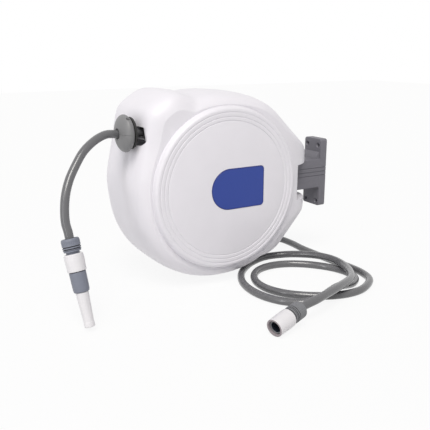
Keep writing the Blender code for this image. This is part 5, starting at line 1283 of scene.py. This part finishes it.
reach = DRUM_HALF_WIDTH - SEAT_GAP - HOSE_RADIUS
turns = int(reach / HOSE_RADIUS)
winding = []
for layer in range(LAYERS):
    radius = CORE_RADIUS + SEAT_GAP + HOSE_RADIUS + layer * LAYER_PITCH
    way = 1 if layer % 2 == 0 else -1
    for i in range(turns * TURN_STEPS + (1 if layer == LAYERS - 1 else 0)):
        share = i / (turns * TURN_STEPS)
        settle = min(1.0, i / STEP_UP) if layer else 1.0
        r = radius - (1 - settle) * LAYER_PITCH
        angle = math.tau * (share * turns)
        y = way * (2 * share - 1) * reach
        winding.append(REEL + Vector((-r * math.sin(angle), y, r * math.cos(angle))))
hose("wound_hose", winding, "drum", ["hose_winding"])

# %% [markdown]
# ## Screws
# Six pan-head screws hold the cover from behind and two hold the stopper's halves. All have a cross
# recess. It is cut once in a pattern screw of each size, whose mesh is then copied to each place.

# %% Screws with a cross recess
HEAD_OUTLINE = [(1.0, 0.0), (1.0, 0.45), (0.9, 0.78), (0.62, 1.0), (0.0, 1.0)]   # shares of the head
SCREW_TIP = 0.4                              # radius of the blunt tip, as a share of the shank's
SCREW_ROUNDING = 0.0003
SCREW_STEPS = 40
CROSS_REACH = 0.55                           # shares of the head's radius
CROSS_HALF = 0.14
CROSS_DEPTH = 0.6                            # share of the head's height
COVER_SCREW = (0.004, 0.003, 0.0019, 0.016)  # head radius and height, shank radius and length
STOPPER_SCREW = (0.003, 0.0025, 0.0015, 0.0288)


def pattern_screw(head_radius, head_height, radius, length):
    """A screw at the origin with a cross cut in its head."""
    outline = [(0, -length), (radius * SCREW_TIP, -length), (radius, -length + radius), (radius, 0)]
    outline += [(head_radius * across, head_height * up) for across, up in HEAD_OUTLINE]
    bm = turned(softened(outline, SCREW_ROUNDING), Matrix.Identity(4), SCREW_STEPS)
    bmesh.ops.remove_doubles(bm, verts=bm.verts, dist=MERGE_WITHIN)
    bmesh.ops.recalc_face_normals(bm, faces=bm.faces)
    mesh = bpy.data.meshes.new("pattern_screw")
    bm.to_mesh(mesh)
    bm.free()
    body = bpy.data.objects.new("pattern_screw", mesh)
    bpy.context.collection.objects.link(body)
    wide, narrow = head_radius * CROSS_REACH, head_radius * CROSS_HALF
    bottom, top = head_height - head_height * CROSS_DEPTH, head_height * 2
    carved(body, *[block((-x, -y, bottom), (x, y, top)) for x, y in ((wide, narrow), (narrow, wide))])
    pattern = body.data
    bpy.data.objects.remove(body, do_unlink=True)
    return pattern


def placed_screw(name, pattern, where, body, node):
    bm = bmesh.new()
    bm.from_mesh(pattern)
    bm.transform(where)
    return piece(name, bm, zinc_steel, body, [node])


cover_screw = pattern_screw(*COVER_SCREW)
for number, degrees in enumerate(SCREW_ANGLES, 1):
    where = along(on_circle(degrees, HALF_DEPTH + SEAT_GAP), ALONG_Y)
    placed_screw("cover_screw_%d" % number, cover_screw, where, "housing", "housing_screw_%d" % number)
small_screw = pattern_screw(*STOPPER_SCREW)
for number, y in enumerate((-SCREW_OUT, SCREW_OUT), 1):
    where = along(stopper_screw_place(y, SCREW_HEAD_AT + SEAT_GAP), ALONG_Z)
    placed_screw("stopper_cross_screw_%d" % number, small_screw, where, "hose_end",
                 "stopper_screw_%d" % number)
print("placed", len(SCREW_ANGLES) + 2, "screws")

# %% [markdown]
# ## The inlet elbow
# Water comes in behind the housing through a grey elbow on the drum's hollow axle. The hose is pushed
# over its arm and held with a steel band clamp whose screw barrel stands on the band.

# %% Elbow
ELBOW = [(0.0103, 0.0923), (0.0195, 0.0923), (0.0195, 0.0950), (0.0148, 0.0958), (0.0135, 0.0980),
         (0.0135, 0.1240), (0.0105, 0.1275), (0, 0.1275), (0, 0.1003), (0.0103, 0.1003)]
ELBOW_ROUNDING = 0.0008
ELBOW_STEPS = 72
SPOUT = [(0.0044, 0.010), (0.0085, 0.010), (0.0085, 0.0260), (0.0093, 0.0275), (0.0085, 0.0360),
         (0.0044, 0.0360)]
SPOUT_STEPS = 56

elbow_bm = turned(softened(ELBOW, ELBOW_ROUNDING), along(REEL, ALONG_Y), ELBOW_STEPS)
turned(softened(SPOUT), along(ELBOW_AT, SUPPLY_OUT), SPOUT_STEPS, bm=elbow_bm)
piece("elbow_body", elbow_bm, stopper_grey, "housing", ["inlet_elbow"])
print("hose leaves the elbow", round(-SUPPLY_START.z * 1000), "mm under the bracket's middle")

# %% [markdown]
# The clamp is a flat ring with a small round screw beside it. The screw stands across the hose, so its
# place and its direction are taken from the ring's own frame.

# %% Band clamp
BAND_OUT = 0.0393                            # from the elbow's middle
BAND_SECTION = [(0.0083, 0), (0.0095, 0), (0.0095, 0.008), (0.0083, 0.008)]
BAND_ROUNDING = 0.0003
BAND_STEPS = 72
CLAMP_SCREW_AT = (0.0118, 0, 0.004)
CLAMP_SCREW = [(0, -0.006), (0.0022, -0.006), (0.0028, -0.0054), (0.0028, 0.0030), (0.0021, 0.0034),
               (0.0021, 0.0040), (0.0028, 0.0044), (0.0026, 0.006), (0, 0.006)]
CLAMP_SCREW_ROUNDING = 0.0002
CLAMP_SCREW_STEPS = 32

band_frame = along(ELBOW_AT + SUPPLY_OUT * BAND_OUT, SUPPLY_OUT)
band_bm = turned(softened(BAND_SECTION, BAND_ROUNDING), band_frame, BAND_STEPS)
across = (band_frame.to_3x3() @ ALONG_Y).normalized()
turned(softened(CLAMP_SCREW, CLAMP_SCREW_ROUNDING), along(band_frame @ Vector(CLAMP_SCREW_AT), across),
       CLAMP_SCREW_STEPS, bm=band_bm)
piece("hose_band_clamp", band_bm, zinc_steel, "housing", ["elbow_clamp"])
print("band clamp is", round(BAND_SECTION[2][1] * 1000, 1), "mm wide")

# %% [markdown]
# ## Pieces that keep their CAD shape
# The rest sits inside the housing: drum, flanges, spring, ratchet, guide, axle, bushes and pins. Their
# CAD shapes are right, so they stay, and only get the finish of their real material.

# %% Finishes for the inner pieces
INNER_FINISHES = {
    zinc_steel: ["swivel_pin", "pin_clip", "guide_rail_upper", "guide_rail_lower", "guide_pin_left",
                 "guide_pin_right", "axle", "power_spring", "pawl_pin", "pawl_spring"],
    bronze: ["swivel_bush_upper", "swivel_bush_lower", "drum_bush_front", "drum_bush_rear"],
    pale_grey: ["water_swivel"],
    dark_plastic: ["guide_carriage", "guide_roller_left", "guide_roller_right", "spring_arbor",
                   "spring_cover", "ratchet_ring", "pawl"],
    stopper_grey: ["drum_core", "drum_flange_front", "drum_flange_rear"],
    buffer_rubber: ["swivel_seal_front", "swivel_seal_rear"],
}
for finish, names in INNER_FINISHES.items():
    for name in names:
        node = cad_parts[name]
        node.data.materials.clear()
        node.data.materials.append(finish)
print("finished", sum(len(names) for names in INNER_FINISHES.values()), "inner pieces")

# %% [markdown]
# ## Floor and background
# The reel is shown on white. A floor that is lit until it is white would flood the reel from below.
# Instead the floor mixes its lit white with a plain white that only the camera and reflections see,
# so it looks white, keeps a soft shadow, and throws no extra light. The world does the same.

# %% White for the camera
WHITE = (1.0, 1.0, 1.0, 1.0)


def seen_or_reflected(nodes, links):
    """One where a ray comes from the camera, a reflection or a see-through surface."""
    path = nodes.new("ShaderNodeLightPath")
    either = path.outputs["Is Camera Ray"]
    for kind in ("Is Glossy Ray", "Is Transmission Ray"):
        larger = nodes.new("ShaderNodeMath")
        larger.operation = "MAXIMUM"
        links.new(either, larger.inputs[0])
        links.new(path.outputs[kind], larger.inputs[1])
        either = larger.outputs["Value"]
    return either


print("plain white is", WHITE[:3])

# %% [markdown]
# The floor is one large square. Its colour is a pale grey that is lit by the lamps, and most of what
# the camera sees of it is the plain white; the rest is the lit grey, which carries the shadow.

# %% Floor
FLOOR_Z = -0.2003
FLOOR_HALF = 6.0
FLOOR_COLOUR = (0.76, 0.76, 0.76, 1.0)
FLOOR_ROUGHNESS = 0.95
WHITE_SHARE = 0.90


def studio_floor():
    made = bpy.data.materials.new("studio_floor")
    made.use_nodes = True
    nodes, links = made.node_tree.nodes, made.node_tree.links
    shader = nodes["Principled BSDF"]
    shader.inputs["Base Color"].default_value = FLOOR_COLOUR
    shader.inputs["Roughness"].default_value = FLOOR_ROUGHNESS
    white = nodes.new("ShaderNodeEmission")
    white.inputs["Color"].default_value = WHITE
    white.inputs["Strength"].default_value = 1.0
    share = nodes.new("ShaderNodeMath")
    share.operation = "MULTIPLY"
    share.inputs[1].default_value = WHITE_SHARE
    links.new(seen_or_reflected(nodes, links), share.inputs[0])
    mix = nodes.new("ShaderNodeMixShader")
    links.new(share.outputs["Value"], mix.inputs["Fac"])
    links.new(shader.outputs["BSDF"], mix.inputs[1])
    links.new(white.outputs["Emission"], mix.inputs[2])
    links.new(mix.outputs["Shader"], nodes["Material Output"].inputs["Surface"])
    return made


floor_mesh = bpy.data.meshes.new("floor")
corners = [(x * FLOOR_HALF, y * FLOOR_HALF, FLOOR_Z) for x, y in ((-1, -1), (1, -1), (1, 1), (-1, 1))]
floor_mesh.from_pydata(corners, [], [(0, 1, 2, 3)])
floor_mesh.materials.append(studio_floor())
floor = bpy.data.objects.new("floor", floor_mesh)
bpy.context.collection.objects.link(floor)
print("floor at", FLOOR_Z, "m")

# %% [markdown]
# The world gives an even light from all sides, a little bluish. Where the camera or a reflection
# looks at it, it is plain white.

# %% World
AMBIENT = 0.43
AMBIENT_COLOUR = (0.97, 0.97, 1.0, 1.0)

world = bpy.data.worlds.new("white_studio")
world.use_nodes = True
bpy.context.scene.world = world
nodes, links = world.node_tree.nodes, world.node_tree.links
sky = nodes["Background"]
sky.inputs["Color"].default_value = AMBIENT_COLOUR
sky.inputs["Strength"].default_value = AMBIENT
white_sky = nodes.new("ShaderNodeBackground")
white_sky.inputs["Color"].default_value = WHITE
white_sky.inputs["Strength"].default_value = 1.0
both = nodes.new("ShaderNodeMixShader")
links.new(seen_or_reflected(nodes, links), both.inputs["Fac"])
links.new(sky.outputs["Background"], both.inputs[1])
links.new(white_sky.outputs["Background"], both.inputs[2])
links.new(both.outputs["Shader"], nodes["World Output"].inputs["Surface"])
print("world light", AMBIENT)

# %% [markdown]
# ## Lamps
# One broad, soft lamp stands high at the left in front. It makes the top of the housing the brightest
# place, and the housing keeps it off the strand behind. It is a distant lamp, so the floor is lit
# evenly up to the horizon; its wide angle keeps the shadows soft. A tall narrow lamp at the left puts
# the long streak on the hose, because a streak is the picture of a lamp in a glossy tube.

# %% Lamps
KEY_ELEVATION = math.radians(58)
KEY_TURN = math.radians(-124)                # compass direction of the key lamp, from +X
KEY_WIDTH = math.radians(28)
KEY_STRENGTH = 2.05
KEY_COLOUR = (1.0, 0.975, 0.925)
KEY_DISTANCE = 3
STRIP_PLACE = Vector((-1.85, -0.62, 0.62))
STRIP_AIM = Vector((-0.62, -0.08, 0.05))
STRIP_SIZE = (0.14, 1.5)
STRIP_WATTS = 4.5
STRIP_COLOUR = (0.985, 0.985, 1.0)


def placed_lamp(name, light, place, target):
    lamp = bpy.data.objects.new(name, light)
    lamp.location = place
    lamp.rotation_euler = (place - target).to_track_quat("Z", "Y").to_euler()
    bpy.context.collection.objects.link(lamp)


key = bpy.data.lights.new("key_lamp", "SUN")
key.angle = KEY_WIDTH
key.energy = KEY_STRENGTH
key.color = KEY_COLOUR
flat_reach = math.cos(KEY_ELEVATION)
key_from = Vector((flat_reach * math.cos(KEY_TURN), flat_reach * math.sin(KEY_TURN), math.sin(KEY_ELEVATION)))
placed_lamp("key_lamp", key, KEY_DISTANCE * key_from, Vector((0, 0, 0)))
strip = bpy.data.lights.new("strip_lamp", "AREA")
strip.shape = "RECTANGLE"
strip.size, strip.size_y = STRIP_SIZE
strip.energy = STRIP_WATTS
strip.color = STRIP_COLOUR
placed_lamp("strip_lamp", strip, STRIP_PLACE, STRIP_AIM)
print("key lamp stands", round(math.degrees(KEY_ELEVATION)), "degrees up")
